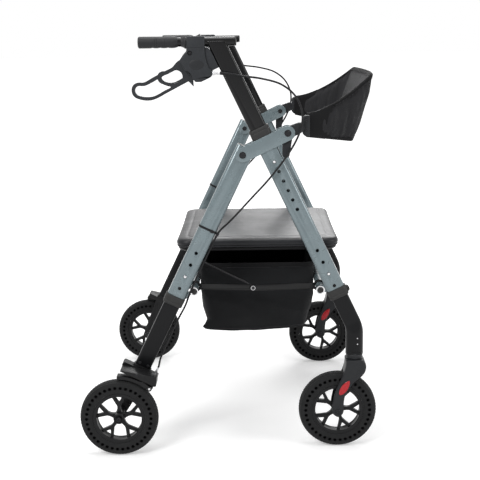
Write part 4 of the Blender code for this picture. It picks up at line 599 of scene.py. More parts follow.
FLOOR_GLOW, WORLD_LIGHT = 0.36, 0.20
LAMPS = (
    ("key", (-1.5, -2.4, 2.6), (0, 0, 0.5), 1.3, 62),
    ("fill", (2.6, -1.4, 1.5), (0, 0, 0.5), 1.4, 26),
    ("back", (0.5, 2.6, 2.2), (0, 0, 0.5), 1.8, 44),
    ("top", (0, 0, 3.2), (0, 0, 0), 2.2, 52),
)


def stage():
    """A pale floor, soft lamps and an even world that shows white."""
    floor = bmesh.new()
    bmesh.ops.create_circle(floor, cap_ends=True, radius=40.0, segments=96)
    mesh_object("floor", floor, floor_material())
    world = bpy.data.worlds.new("studio")
    bpy.context.scene.world = world
    world.use_nodes = True
    tree = world.node_tree
    background = tree.nodes["Background"]
    background.inputs["Color"].default_value = (1, 1, 1, 1)
    node_input(tree, background.inputs["Strength"], span(tree, camera_rays(tree), 0, 1, WORLD_LIGHT, 1.0))
    for name, place, aim, size, power in LAMPS:
        data = bpy.data.lights.new(name, "AREA")
        data.shape, data.size, data.energy = "DISK", size, power
        lamp = linked(name, data)
        lamp.location = place
        lamp.rotation_euler = (Vector(aim) - Vector(place)).to_track_quat("-Z", "Y").to_euler()
    bpy.context.scene.view_settings.view_transform = "Standard"


# Wheels
TYRE_RADIUS, TYRE_HALF, TYRE_SEAT = 0.100, 0.017, 0.0668
TREAD_ROWS, TREAD_HALF, TREAD_GROOVE, ROW_EDGE = 76, 0.0118, 0.0011, 0.0040
POCKET_COUNT, POCKET_RING, POCKET_RADIUS, POCKET_DEPTH = 38, 0.0822, 0.0043, 0.007
SPOKES, SPOKE_FORK, SPOKE_SPREAD = 5, 0.034, math.radians(15.5)
RIM_INNER, HUB_RADIUS, HUB_HALF = 0.0575, 0.0140, 0.0170


def tread_height(turn, across):
    """How far the tread's grooves lie below the crown: three staggered rows of blocks."""
    stagger = 0.0 if abs(across) < ROW_EDGE else 0.5
    beat = (turn / (2 * math.pi) * TREAD_ROWS + stagger + abs(across) * 60) % 1
    between_rows = abs(abs(across) - ROW_EDGE) < 0.0007
    return TREAD_GROOVE if beat < 0.26 or between_rows else 0.0


def tyre(name):
    """An airless tyre on the Y axis: blocks on the tread, a ring of round holes in each sidewall, their walls in
    painted shade.
    """
    tread = [TREAD_HALF * (i / 10 - 1) for i in range(21)]
    tread += [s * (ROW_EDGE + e) for s in (-1, 1) for e in (-0.0008, 0.0008)]
    wall = [(TYRE_SEAT, 0.0128), (TYRE_SEAT + 0.0010, 0.0150), (TYRE_SEAT + 0.0040, 0.0164),
            (0.0760, 0.0170), (0.0880, 0.0168), (0.0925, 0.0158), (0.0960, 0.0142)]
    steps = TREAD_ROWS * 4
    data = bmesh.new()
    rows = [(radius, -across, False) for radius, across in wall]
    rows += [(TYRE_RADIUS - 0.0035 * (w / TREAD_HALF) ** 4, w, True) for w in sorted(tread)]
    rows += [(radius, across, False) for radius, across in reversed(wall)]
    rings = []
    for radius, across, is_tread in rows:
        ring = []
        for turn in turns(steps):
            r = radius - (tread_height(turn, across) if is_tread else 0)
            ring.append(data.verts.new((r * math.cos(turn), across, r * math.sin(turn))))
        rings.append(ring)
    for first, second in zip(rings, rings[1:] + rings[:1]):
        bridged(data, first, second)
    body = mesh_object(name, data, TYRE_RUBBER, 30)
    # The pockets' walls take the painted shade finish.
    body.data.materials.append(HOLE_SHADE)
    drills = []
    for side in (-1, 1):
        for i in range(POCKET_COUNT):
            turn = 2 * math.pi * (i + 0.5 * (side > 0)) / POCKET_COUNT
            middle = Vector((POCKET_RING * math.cos(turn), 0, POCKET_RING * math.sin(turn)))
            start = middle + Vector((0, side * (TYRE_HALF - POCKET_DEPTH), 0))
            end = start + Vector((0, side * 0.02, 0))
            drills.append(rod("drill", start, end, POCKET_RADIUS, HOLE_SHADE, 16))
    return carved(body, merged("drills", *drills))


def spoke_outline(heading):
    """A Y in the XZ plane: a stem that flares from the hub and splits into two arms."""
    stem, arm = 0.0043, 0.0033
    tip = Vector((RIM_INNER + 0.003, 0))
    ends = [Vector((tip.x * math.cos(a), tip.x * math.sin(a))) for a in (-SPOKE_SPREAD, SPOKE_SPREAD)]
    fork = Vector((SPOKE_FORK, 0))
    upper = (ends[1] - fork).normalized()
    side = Vector((-upper.y, upper.x)) * arm
    outer = [(HUB_RADIUS - 0.003, stem * 1.8), (HUB_RADIUS + 0.004, stem * 1.15),
             (SPOKE_FORK - 0.010, stem * 0.95), (SPOKE_FORK - 0.003, stem * 1.08),
             tuple(ends[1] + side), tuple(ends[1] - side)]
    crotch = SPOKE_FORK + arm / upper.y + 0.0014
    points = outer + [(crotch, 0.0009), (crotch, -0.0009)] + [(u, -v) for u, v in reversed(outer)]
    c, s = math.cos(heading), math.sin(heading)
    return [(u * c - v * s, u * s + v * c) for u, v in points]


def spoke(heading):
    """One Y with a shallow channel down each face."""
    place = lambda u, v, w: Vector((u, w, v))
    body = extruded("spoke", spoke_outline(heading), -0.0058, 0.0058, place, RIM_PLASTIC)
    data = bmesh.new()
    data.from_mesh(body.data)
    for side in (-1, 1):
        faces = [f for f in data.faces if f.normal.y * side > 0.9]
        bmesh.ops.inset_region(data, faces=faces, thickness=0.0015, depth=0)
        faces = [f for f in data.faces if f.select or f.normal.y * side > 0.9]
        inner = max(faces, key=lambda f: f.calc_area())
        for vert in inner.verts:
            vert.co.y -= side * 0.0014
    data.to_mesh(body.data)
    data.free()
    return bevelled(body, 0.0005, 2, 35)


def rim(name, heading):
    """Hub, five Y spokes and the band under the tyre, on the Y axis."""
    lip = 0.0136
    band = [(RIM_INNER, -lip + 0.0012), (RIM_INNER + 0.0012, -lip), (TYRE_SEAT - 0.0006, -lip),
            (TYRE_SEAT - 0.0003, -lip + 0.0008), (TYRE_SEAT - 0.0003, lip - 0.0008),
            (TYRE_SEAT - 0.0006, lip), (RIM_INNER + 0.0012, lip), (RIM_INNER, lip - 0.0012),
            (RIM_INNER + 0.0012, lip - 0.004), (RIM_INNER + 0.0012, 0.004 - lip)]
    half = HUB_HALF
    face = [(0, half - 0.0030), (0.0055, half - 0.0030), (0.0062, half - 0.0010), (0.0088, half - 0.0004),
            (0.0093, half - 0.0016), (0.0104, half - 0.0016), (0.0110, half), (0.0128, half),
            (HUB_RADIUS, half - 0.0012)]
    hub = [(r, -a) for r, a in face] + face[::-1]
    pieces = [revolved("band", band, (0, 0, 0), (0, 1, 0), RIM_PLASTIC, 128),
              revolved("hub", hub, (0, 0, 0), (0, 1, 0), RIM_PLASTIC, 64)]
    pieces += [spoke(heading + 2 * math.pi * i / SPOKES) for i in range(SPOKES)]
    return merged(name, *pieces)


def hex_head(name, at, direction, flats, height, finish, socket=True):
    """A hexagon bolt head, domed at its rim, or a round socket head with a six-sided recess lined with painted
    shade.
    """
    r = flats / 2 if socket else flats / 2 / math.cos(math.pi / 6)
    profile = [(0, 0), (r, 0), (r, height * 0.75), (r * 0.86, height), (0, height)]
    head = revolved(name, profile, at, direction, finish, 32 if socket else 6, 25)
    if socket:
        top = Vector(at) + Vector(direction).normalized() * height
        recess = [(0, -height * 0.5), (r * 0.5, -height * 0.5), (r * 0.5, height), (0, height)]
        carved(head, revolved("recess", recess, top, direction, HOLE_SHADE, 6, 25))
    return head


def moved(obj, offset):
    """The object with its mesh shifted."""
    obj.data.transform(Matrix.Translation(Vector(offset)))
    return obj


def copied(obj, name):
    """A second object with a mesh of its own."""
    return linked(name, obj.data.copy())


def wheels():
    """The four wheels, each tyre and rim standing for its CAD nodes."""
    pattern_tyre = tyre("tyre_pattern")
    for base, centre, heading in (("front", FRONT_WHEEL, 0.0), ("rear", REAR_WHEEL, math.pi / 2)):
        pattern_rim = rim(f"{base}_rim_pattern", heading)
        for suffix, side in SIDES:
            place = Vector((centre.x, side * centre.y, centre.z))
            for pattern, kind, slot in ((pattern_tyre, "tyre", "tyre_rubber"),
                                        (pattern_rim, "rim", "rim_plastic")):
                piece = moved(copied(pattern, f"{base}_wheel_{kind}_{suffix}"), place)
                single(piece, f"{base}_wheel_{suffix}", [f"{base}_{kind}_{suffix}"])
        bpy.data.objects.remove(pattern_rim, do_unlink=True)
    bpy.data.objects.remove(pattern_tyre, do_unlink=True)


# Frame tubes
BEND = Vector((0.3228, 0, 0.3195))
GAP, TUBE_WIDTH, TUBE_DEPTH, TUBE_WALL, TUBE_CORNER = 0.0003, 0.046, 0.028, 0.0016, 0.0085
MEMBER_WIDTH, MEMBER_DEPTH, MEMBER_CORNER = 0.0422, 0.0242, 0.0066
REAR_TUBE_DEPTH, REAR_MEMBER_DEPTH = 0.0266, 0.0228
FRONT_TUBE_SPAN, REAR_TUBE_SPAN = (0.1138, 0.5384), (-0.020, 0.3965)
PLATE_STATION, PLATE_HALF, PLATE_THICKNESS = 0.5204, 0.018, 0.0026
PLATE_REAR, PLATE_FRONT = -0.0625, 0.0600
HANDLE_HOLES = [0.4712 - 0.0262 * i for i in range(6)]
FRONT_LEG_HOLES = [0.1570 + 0.0335 * i for i in range(-1, 3)]
REAR_LEG_HOLES = [0.3398 - 0.0335 * i for i in range(-1, 3)]
HOLE_RADIUS, BUTTON_RADIUS, PIN_RADIUS = 0.0043, 0.0036, 0.004
NUT_FLATS, BAR_BORE = 0.0125, 0.0085
KNEE, KNEE_HOLE, BRACE_EYE, BRACE_TIP, BRACE_HALF = (0.066, 0.412), 0.0035, 0.0155, 0.008, 0.00225
BRACE_Y, BRACE_STEP, STRAP_Y = -0.283, 0.0051, 0.2700
CROSS_Z, CROSS_RADIUS, SEAT_RAIL_Z = 0.416, 0.010, 0.4865
COLLAR_LENGTH, COLLAR_WALL = 0.0245, 0.0028


def front_point(station, across, out):
    """A point by the right front tube: up its axis from the bend, across it, outward."""
    return BEND + FRONT_UP * station + FRONT_ACROSS * across + RIGHT * (FRAME_Y + out)


def rear_point(distance, across, out):
    """A point by the right rear tube: down its axis from the pivot, across it, outward."""
    return PIVOT - REAR_UP * distance + REAR_ACROSS * across + RIGHT * (FRAME_Y + out)


def upright(u, v, w):
    """A point of an outline that is seen from the side."""
    return Vector((u, w, v))


def handed(obj, base, body, replaced=()):
    """Names a right-hand piece, makes its left twin, and rides both on their bodies."""
    obj.name = base + "_r"
    twins = (obj, mirrored(obj, base + "_l"))
    for piece, (suffix, _) in zip(twins, SIDES):
        single(piece, body.format(suffix), [f"{node}_{suffix}" for node in replaced])
    return twins


def single(obj, body, replaced=()):
    """Rides a piece on its body and the CAD nodes that it stands for."""
    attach(obj, body)
    if replaced:
        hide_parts(*replaced)
    return obj


def drilled(obj, point, stations, radius, low, high, finish):
    """Holes through the outboard wall at stations along a tube."""
    drills = [rod("drill", point(at, 0, low), point(at, 0, high), radius, finish, 24) for at in stations]
    return carved(obj, merged("drills", *drills)) if drills else obj


def tube(name, point, span_, width, depth, corner, finish, holes=(), radius=HOLE_RADIUS):
    """A hollow rounded tube along a frame tube's axis, drilled through its outboard wall."""
    outside = round_rectangle(width, depth, corner)
    inside = round_rectangle(width - 2 * TUBE_WALL, depth - 2 * TUBE_WALL, corner - TUBE_WALL)
    levels = ((outside, span_[0]), (outside, span_[1]), (inside, span_[1]), (inside, span_[0]))
    body = lofted(name, [[point(at, u, v) for u, v in shape] for shape, at in levels], finish, True)
    drilled(body, point, holes, radius, depth / 2 - 2 * TUBE_WALL, depth, finish)
    return bevelled(body, 0.0004, 2, 40, 30)


def link_outline(first, first_radius, second, second_radius, steps=14):
    """Two discs and the straight tangents between them."""
    delta = Vector(second) - Vector(first)
    heading = math.atan2(delta.y, delta.x)
    swing = math.acos((first_radius - second_radius) / delta.length)
    return (arc(second, second_radius, heading - swing, heading + swing, steps)
            + arc(first, first_radius, heading + swing, heading + 2 * math.pi - swing, steps))


def pivot_bolt(name, base):
    """A black hex head on its washer, standing on an outer face."""
    profile = [(0, 0), (0.0085, 0), (0.0085, 0.0007), (0.0082, 0.0010), (0, 0.0010)]
    disc = revolved("washer", profile, base, RIGHT, BLACK_BOLT, 40)
    head = hex_head("head", base + RIGHT * 0.0010, RIGHT, NUT_FLATS, 0.0042, BLACK_BOLT, False)
    return merged(name, disc, head)


def frame_tubes():
    """The painted tubes with their link plates, pivot bolts and end plugs."""
    front = tube("front", front_point, FRONT_TUBE_SPAN, TUBE_WIDTH, TUBE_DEPTH, TUBE_CORNER, FRAME_PAINT,
                 HANDLE_HOLES + FRONT_LEG_HOLES)
    ends = (PLATE_STATION, PLATE_REAR), (PLATE_STATION, PLATE_FRONT)
    shape = link_outline(ends[0], PLATE_HALF, ends[1], PLATE_HALF)
    inner = TUBE_DEPTH / 2 + 0.00002
    plates = [bevelled(extruded("plate", shape, low, high, front_point, FRAME_PAINT), 0.0006, 3)
              for low, high in ((inner, inner + PLATE_THICKNESS), (-inner - PLATE_THICKNESS, -inner))]
    pins = [rod("pin", front_point(*end, -0.0145), front_point(*end, 0.0145), PIN_RADIUS, BLACK_STEEL)
            for end in ends]
    handed(merged("front", front, *plates, *pins), "front_frame_tube", "root", ["front_frame"])
    rear = tube("rear", rear_point, REAR_TUBE_SPAN, TUBE_WIDTH, REAR_TUBE_DEPTH, TUBE_CORNER, FRAME_PAINT,
                REAR_LEG_HOLES)
    drill = rod("drill", rear_point(0, 0, -0.02), rear_point(0, 0, 0.02), HOLE_RADIUS, FRAME_PAINT, 24)
    handed(carved(rear, drill), "rear_frame_tube", "rear", ["rear_tube"])
    walls = 2 * TUBE_WALL + 0.0004
    cap = round_rectangle(TUBE_WIDTH - walls, REAR_TUBE_DEPTH - walls, 0.0065)
    plug = lofted("plug", [[rear_point(at, u * k, v * k) for u, v in cap]
                           for at, k in ((-0.012, 1), (-0.0198, 1), (-0.0208, 0.96))], COLLAR_PLASTIC)
    handed(plug, "rear_tube_plug", "rear")
    out = TUBE_DEPTH / 2 + PLATE_THICKNESS
    for name, end in zip(("rear_pivot_bolt", "backrest_pivot_bolt"), ends):
        handed(pivot_bolt(name, front_point(*end, out)), name, "root")
        nut = hex_head("nut", front_point(*end, -out), -RIGHT, NUT_FLATS, 0.0050, BLACK_BOLT, False)
        handed(nut, name.replace("bolt", "nut"), "root")


def collar(name, point, start, depth, body, node, toward=1, lug=False):
    """A moulded guide with a shoulder against the tube's end and a softened mouth for the member."""
    width, deep = TUBE_WIDTH + 2 * COLLAR_WALL, depth + 2 * (TUBE_WALL + GAP + COLLAR_WALL)
    corner = TUBE_CORNER + COLLAR_WALL
    bore = round_rectangle(MEMBER_WIDTH + 2 * GAP, depth + 2 * GAP, MEMBER_CORNER + GAP)
    mouth = round_rectangle(MEMBER_WIDTH + 0.0016, depth + 0.0016, MEMBER_CORNER + 0.0008)
    levels = []
    for share, draw_in in ((0.0, 0.0010), (0.04, 0.0), (0.58, 0.0), (0.61, 0.0007), (0.66, 0.0007),
                           (0.69, 0.0), (0.90, 0.0003), (0.97, 0.0010), (1.0, 0.0022)):
        levels.append((round_rectangle(width - 2 * draw_in, deep - 2 * draw_in, corner - draw_in), share))
    levels += [(mouth, 1.0), (bore, 0.96), (bore, 0.0)]
    if toward < 0:
        levels = [(shape, 1 - share) for shape, share in levels]
    rings = [[point(start + COLLAR_LENGTH * share, u, v) for u, v in shape] for shape, share in levels]
    ring = bevelled(lofted(name, rings, COLLAR_PLASTIC, True), 0.0004, 2)
    if lug:
        outline = [(0.004, -0.002), (0.020, -0.002), (0.0185, 0.0040), (0.0150, 0.0058), (0.0090, 0.0058),
                   (0.0055, 0.0040)]
        outline = [(start + u, width / 2 + v) for u, v in outline]
        ear = extruded("lug", outline, -0.0065, 0.0065, point, COLLAR_PLASTIC)
        ring = merged(name, ring, bevelled(ear, 0.0012, 3))
    return handed(ring, name, body, [node])


def collars():
    """The guides at the tubes' ends; the front leg's has a lug on its front side."""
    collar("handle_guide", front_point, FRONT_TUBE_SPAN[1] + GAP, MEMBER_DEPTH, "root", "handle_collar")
    collar("front_leg_guide", front_point, 0.089, MEMBER_DEPTH, "root", "front_leg_collar", -1, True)
    collar("rear_leg_guide", rear_point, REAR_TUBE_SPAN[1] + GAP, REAR_MEMBER_DEPTH, "rear",
           "rear_leg_collar")


def frame_tube_x(z, front):
    """Where the front or the rear tube's middle line passes a height."""
    origin, up = (BEND, FRONT_UP) if front else (PIVOT, REAR_UP)
    return origin.x + up.x * (z - origin.z) / up.z


def cross_tube_x(front):
    """Where the front or the rear cross tube lies, beside its frame tube."""
    lean = FRONT_UP.z if front else REAR_UP.z
    offset = TUBE_WIDTH / 2 / lean + 0.0155
    return frame_tube_x(CROSS_Z, front) + (-offset if front else offset)


def round_bar(name, x, z, reach):
    """A hollow round bar across the frame."""
    ring = [(CROSS_RADIUS, -reach), (CROSS_RADIUS, reach), (BAR_BORE, reach), (BAR_BORE, -reach)]
    return revolved(name, ring, (x, 0, z), (0, 1, 0), FRAME_PAINT, 48)


def cross_members():
    """The two cross tubes with their saddles, and the two round rails under the seat."""
    for name, front, body in (("front", True, "root"), ("rear", False, "rear")):
        x, reach = cross_tube_x(front), FRAME_Y - 0.002
        bar = round_bar("bar", x, CROSS_Z, reach)
        up, across, origin = (FRONT_UP, FRONT_ACROSS, BEND) if front else (REAR_UP, -REAR_ACROSS, PIVOT)
        tube_end = FRONT_TUBE_SPAN[0] if front else -REAR_TUBE_SPAN[1]
        middle = Vector((x, 0, CROSS_Z))
        edge = (origin - middle).dot(across) - TUBE_WIDTH / 2 - GAP
        low = tube_end + GAP - (middle - origin).dot(up)
        high, r = low + 0.018, CROSS_RADIUS - 0.0002
        outline = [(-0.6 * r, -0.8 * r), (0.2 * r, -r), (edge - COLLAR_WALL - GAP, low), (edge, low),
                   (edge, high), (0.5 * edge, 0.5 * (high + r)), (0.2 * r, r), (-0.6 * r, 0.8 * r)]
        place = lambda u, v, y: middle + across * u + up * v + Vector((0, y, 0))
        saddles = []
        for side in (-1, 1):
            near, far = sorted((side * reach, side * (reach - 0.011)))
            saddles.append(bevelled(extruded("saddle", outline, near, far, place, FRAME_PAINT), 0.0010, 3))
        single(merged(f"{name}_cross_bar", bar, *saddles), body, [f"{name}_cross_tube"])
        rim_ring = [(0.0078, -0.0010), (0.0112, -0.0010), (0.0116, 0.0004), (0.0112, 0.0014),
                    (0.0086, 0.0017), (0.0078, 0.0010)]
        core = [(0, -0.0020), (0.0080, -0.0020), (0.0080, 0.0006), (0.0062, 0.0012), (0, 0.0016)]
        end = Vector((x, -reach, CROSS_Z))
        plug = merged("plug", revolved("ring", rim_ring, end, RIGHT, BRIGHT_STEEL, 40),
                      revolved("core", core, end, RIGHT, COLLAR_PLASTIC, 40))
        handed(plug, f"{name}_cross_plug", body)
        reach = FRAME_Y - (TUBE_DEPTH if front else REAR_TUBE_DEPTH) / 2 - GAP
        rail = round_bar(f"{name}_seat_bar", frame_tube_x(SEAT_RAIL_Z, front), SEAT_RAIL_Z, reach)
        single(rail, body, [f"{name}_seat_rail"])


def brace(name, x, y, body, node, pin):
    """A flat bar with a round eye on its cross tube, and the knee's rivet or else its hole."""
    eye = (x, CROSS_Z)
    along = (Vector(KNEE) - Vector(eye)).normalized()
    heading = math.atan2(along.y, along.x)
    opening = math.asin(BRACE_TIP / BRACE_EYE)
    ring = arc(eye, BRACE_EYE, heading + opening, heading + 2 * math.pi - opening, 28)
    tip = arc(KNEE, BRACE_TIP, heading - math.pi / 2, heading + math.pi / 2, 14)
    holes = [circle(eye, CROSS_RADIUS + GAP, 40)]
    if not pin:
        holes.append(circle(KNEE, KNEE_HOLE, 24))
    low, high = y - BRACE_HALF, y + BRACE_HALF
    pieces = [bevelled(extruded("bar", ring + tip, low, high, upright, GLOSS_BLACK, holes), 0.0005, 2)]
    if pin:
        at = upright(*KNEE, low)
        head = [(0, 0), (0.0042, 0), (0.0040, 0.0018), (0.0026, 0.0026), (0, 0.0029)]
        rim_ring = [(0.0042, 0), (0.0060, 0), (0.0058, 0.0012), (0.0046, 0.0016), (0.0042, 0.0012)]
        pieces += [revolved("rivet", head, at, RIGHT, BLACK_BOLT, 32),
                   revolved("collar", rim_ring, at, RIGHT, BRIGHT_STEEL, 32)]
    handed(merged(name, *pieces), name, body, [node])


def braces():
    """The two bars of each side's folding brace, one beside the other at the knee."""
    brace("front_brace_bar", cross_tube_x(True), BRACE_Y, "brace_front", "brace_bar_front", True)
    brace("rear_brace_bar", cross_tube_x(False), BRACE_Y + BRACE_STEP, "brace_rear", "brace_bar_rear", False)


def buttons():
    """Domed snap buttons in their holes."""
    for name, point, at, depth, tube_depth in (
        ("handle_button", front_point, HANDLE_HOLES[0], MEMBER_DEPTH, TUBE_DEPTH),
        ("front_leg_button", front_point, FRONT_LEG_HOLES[1], MEMBER_DEPTH, TUBE_DEPTH),
        ("rear_leg_button", rear_point, REAR_LEG_HOLES[1], REAR_MEMBER_DEPTH, REAR_TUBE_DEPTH),
    ):
        start = depth / 2 - TUBE_WALL - 0.0016
        tip, r = tube_depth / 2 + 0.0022 - start, BUTTON_RADIUS
        profile = [(0, 0), (r + 0.0014, 0), (r + 0.0014, 0.0013), (r, 0.0013), (r, tip - 0.0016),
                   (r * 0.92, tip - 0.0008), (r * 0.70, tip - 0.00025), (r * 0.38, tip - 0.00005), (0, tip)]
        knob = revolved(name, profile, point(at, 0, start), RIGHT, BRIGHT_STEEL, 32, 50)
        handed(knob, "snap_" + name, name + "_{}", [name])


# Handles
RAIL_Z, RAIL_RADIUS, RAIL_FRONT_X = 1.037, 0.011, 0.030
GRIP_REAR_X, GRIP_FRONT_X, GRIP_RADIUS = -0.2030, -0.0868, 0.0142
POST_FOOT, RAIL_TOP, TOP_PLUG = 0.4452, 0.0025, 0.0172
LEVER_X, LEVER_Z, LEVER_HALF, HOUSING_HALF = -0.062, 0.982, 0.0065, 0.020
CLAMP_REAR, CLAMP_FRONT = -0.0848, -0.0420
LEVER_OUTLINE = [
    (-0.0060, 0.0164), (-0.0250, 0.0160), (-0.0400, 0.0136), (-0.0500, 0.0068), (-0.0600, -0.0040),
    (-0.0781, -0.0130), (-0.1063, -0.0272), (-0.1250, -0.0375), (-0.1320, -0.0400), (-0.1400, -0.0398),
    (-0.1480, -0.0406), (-0.1552, -0.0448), (-0.1592, -0.0520), (-0.1600, -0.0600), (-0.1575, -0.0690),
    (-0.1510, -0.0760), (-0.1400, -0.0803), (-0.1300, -0.0825), (-0.1200, -0.0831), (-0.1083, -0.0815),
    (-0.0951, -0.0765), (-0.0762, -0.0665), (-0.0498, -0.0530), (-0.0215, -0.0385), (-0.0095, -0.0510),
    (-0.0105, -0.0300), (-0.0030, -0.0172), (0.0100, -0.0140), (0.0170, -0.0030), (0.0150, 0.0085),
    (0.0060, 0.0160),
]
LEVER_TAB = 24
LEVER_WINDOW = [
    (-0.0940, -0.0325), (-0.1080, -0.0392), (-0.1245, -0.0468), (-0.1330, -0.0482), (-0.1420, -0.0478),
    (-0.1490, -0.0512), (-0.1524, -0.0585), (-0.1505, -0.0650), (-0.1440, -0.0705), (-0.1321, -0.0742),
    (-0.1200, -0.0750), (-0.1090, -0.0738), (-0.0970, -0.0690), (-0.0815, -0.0605), (-0.0640, -0.0512),
    (-0.0720, -0.0490), (-0.0830, -0.0445), (-0.0895, -0.0390),
]
LEVER_RING = [
    (-0.0868, -0.0285), (-0.0822, -0.0248), (-0.0691, -0.0196), (-0.0580, -0.0128), (-0.0480, -0.0118),
    (-0.0400, -0.0160), (-0.0358, -0.0250), (-0.0372, -0.0345), (-0.0450, -0.0402), (-0.0586, -0.0418),
    (-0.0734, -0.0400), (-0.0830, -0.0352),
]
HOUSING_CHEEK = [
    (0.0195, 0.0430), (0.0198, 0.0233), (0.0240, 0.0060), (0.0290, -0.0070), (0.0350, -0.0125),
    (0.0385, -0.0210), (0.0325, -0.0292), (0.0200, -0.0352), (0.0090, -0.0398), (-0.0040, -0.0399),
    (-0.0095, -0.0335), (-0.0150, -0.0200), (-0.0210, -0.0148), (-0.0290, -0.0125), (-0.0418, 0.0117),
    (-0.0320, 0.0255), (-0.0248, 0.0330),
]


def at_lever(points):
    """An outline drawn from the lever's pivot, put in its place."""
    return [(LEVER_X + u, LEVER_Z + v) for u, v in points]


def handle_posts():
    """The sliding post, mitred under the rail that is welded across its top."""
    y = -FRAME_Y
    top = (RAIL_Z - BEND.z) / FRONT_UP.z + MEMBER_WIDTH
    post = tube("post", front_point, (POST_FOOT, top), MEMBER_WIDTH, MEMBER_DEPTH, MEMBER_CORNER, GLOSS_BLACK,
                HANDLE_HOLES[:1], BUTTON_RADIUS + GAP)
    x = frame_tube_x(RAIL_Z, True)
    square = round_rectangle(0.2, 0.2, 0.001, 1)
    above = [[Vector((x + u, y + v, z)) for u, v in square] for z in (RAIL_Z, RAIL_Z + 0.1)]
    carved(post, lofted("above", above, GLOSS_BLACK))
    rear = GRIP_REAR_X + 0.0043
    length = RAIL_FRONT_X - rear
    r = RAIL_RADIUS
    bar = [(0, 0), (r, 0), (r, length - 0.0012), (r - 0.0004, length - 0.0003), (r - 0.0012, length),
           (r - 0.0018, length), (r - 0.0018, length - 0.02), (0, length - 0.02)]
    cap = [(0, 0), (r - 0.0020, 0), (r - 0.0020, 0.0175), (r - 0.0010, 0.0178), (r - 0.0004, 0.0190),
           (r - 0.0016, 0.0206), (0.004, 0.0210), (0, 0.0210)]
    rail = revolved("rail", bar, (rear, y, RAIL_Z), (1, 0, 0), GLOSS_BLACK, 64)
    plug = revolved("plug", cap, (RAIL_FRONT_X - TOP_PLUG, y, RAIL_Z), (1, 0, 0), COLLAR_PLASTIC, 48)
    post = merged("post", post, rail, plug, weld_bead(x, y))
    handed(post, "handle_tube", "handle_{}", ["handle_post"])


def weld_bead(x, y):
    """The rippled weld where the post meets the rail."""
    section = round_rectangle(MEMBER_WIDTH / FRONT_UP.z + 0.0006, MEMBER_DEPTH + 0.0006, MEMBER_CORNER, 8)
    points = []
    for u, v in section:
        drop = math.sqrt(max(RAIL_RADIUS ** 2 - min(abs(v), RAIL_RADIUS) ** 2, 0))
        z = RAIL_Z - drop
        shift = FRONT_UP.x / FRONT_UP.z * (z - RAIL_Z)
        points.append((x + u + shift, y + v, z))
    path = smooth_path(points, 160, True)
    rings = []
    for i, p in enumerate(path):
        along = (path[(i + 1) % len(path)] - path[i - 1]).normalized()
        side = along.cross(SKY).normalized()
        lift = side.cross(along)
        r = 0.0015 + 0.0003 * math.sin(i * 2 * math.pi / 5)
        rings.append([p + side * u + lift * v for u, v in oval(r, r, 8)])
    return lofted("bead", rings, GLOSS_BLACK, True)


def grip_radius(share, turn):
    """Radius of the grip by distance along it and angle round it, creased where fingers lie."""
    def swell(places, width):
        return sum(math.exp(-((share - place) / width) ** 2) for place in places)

    waist = swell((0.86,), 0.07) * 0.0034
    fingers = swell((0.30, 0.46, 0.62), 0.030) * 0.0010 * max(0.0, -math.sin(turn))
    palm = 0.00024 * swell((0.45,), 0.22) * max(0.0, math.sin(turn))
    creases = swell((0.36, 0.40, 0.52, 0.57), 0.0042) * 0.0007 * (0.35 + 0.65 * abs(math.cos(turn)))
    flange = 0.0022 / (1 + math.exp(-(share - 0.955) * 140))
    end = max(0.0, 0.028 - share) / 0.028
    return GRIP_RADIUS - 0.0002 - waist - fingers - creases + flange - 0.0030 * end ** 2 - palm


def grips():
    """The moulded grip on the rail: open toward the front, a vent in its end, two raised ribs."""
    length, steps = GRIP_FRONT_X - GRIP_REAR_X, 130

    def spot(share, out, turn):
        y, z = out * math.cos(turn) - FRAME_Y, RAIL_Z + out * math.sin(turn)
        return Vector((GRIP_REAR_X + length * share, y, z))

    rings = [[spot(i / steps, grip_radius(i / steps, t), t) for t in turns(64)] for i in range(steps + 1)]
    body = lofted("grip", rings, GRIP_RUBBER, False, 60)
    for low, high, radius, finish, sides in (
        (GRIP_REAR_X + 0.004, GRIP_FRONT_X + 0.01, RAIL_RADIUS + GAP, GRIP_RUBBER, 48),
        # The vent in the grip's end is lined with painted shade.
        (GRIP_REAR_X - 0.01, GRIP_REAR_X + 0.006, 0.0022, HOLE_SHADE, 20),
    ):
        carved(body, rod("bore", (low, -FRAME_Y, RAIL_Z), (high, -FRAME_Y, RAIL_Z), radius, finish, sides))
    ribs = []
    for share in (0.34, 0.38):
        for side in (-1, 1):
            path = []
            for t in [-0.55 + 1.1 * i / 12 for i in range(13)]:
                p = spot(share + 0.004 * math.sin(t * 3), GRIP_RADIUS - 0.0002, t)
                path.append(Vector((p.x, side * (p.y + FRAME_Y) - FRAME_Y, p.z)))
            ribs.append(swept("rib", path, circle((0, 0), 0.0005, 8), GRIP_RUBBER, Vector((1, 0, 0))))
    handed(merged("grip", body, *ribs), "hand_grip", "handle_{}", ["grip"])


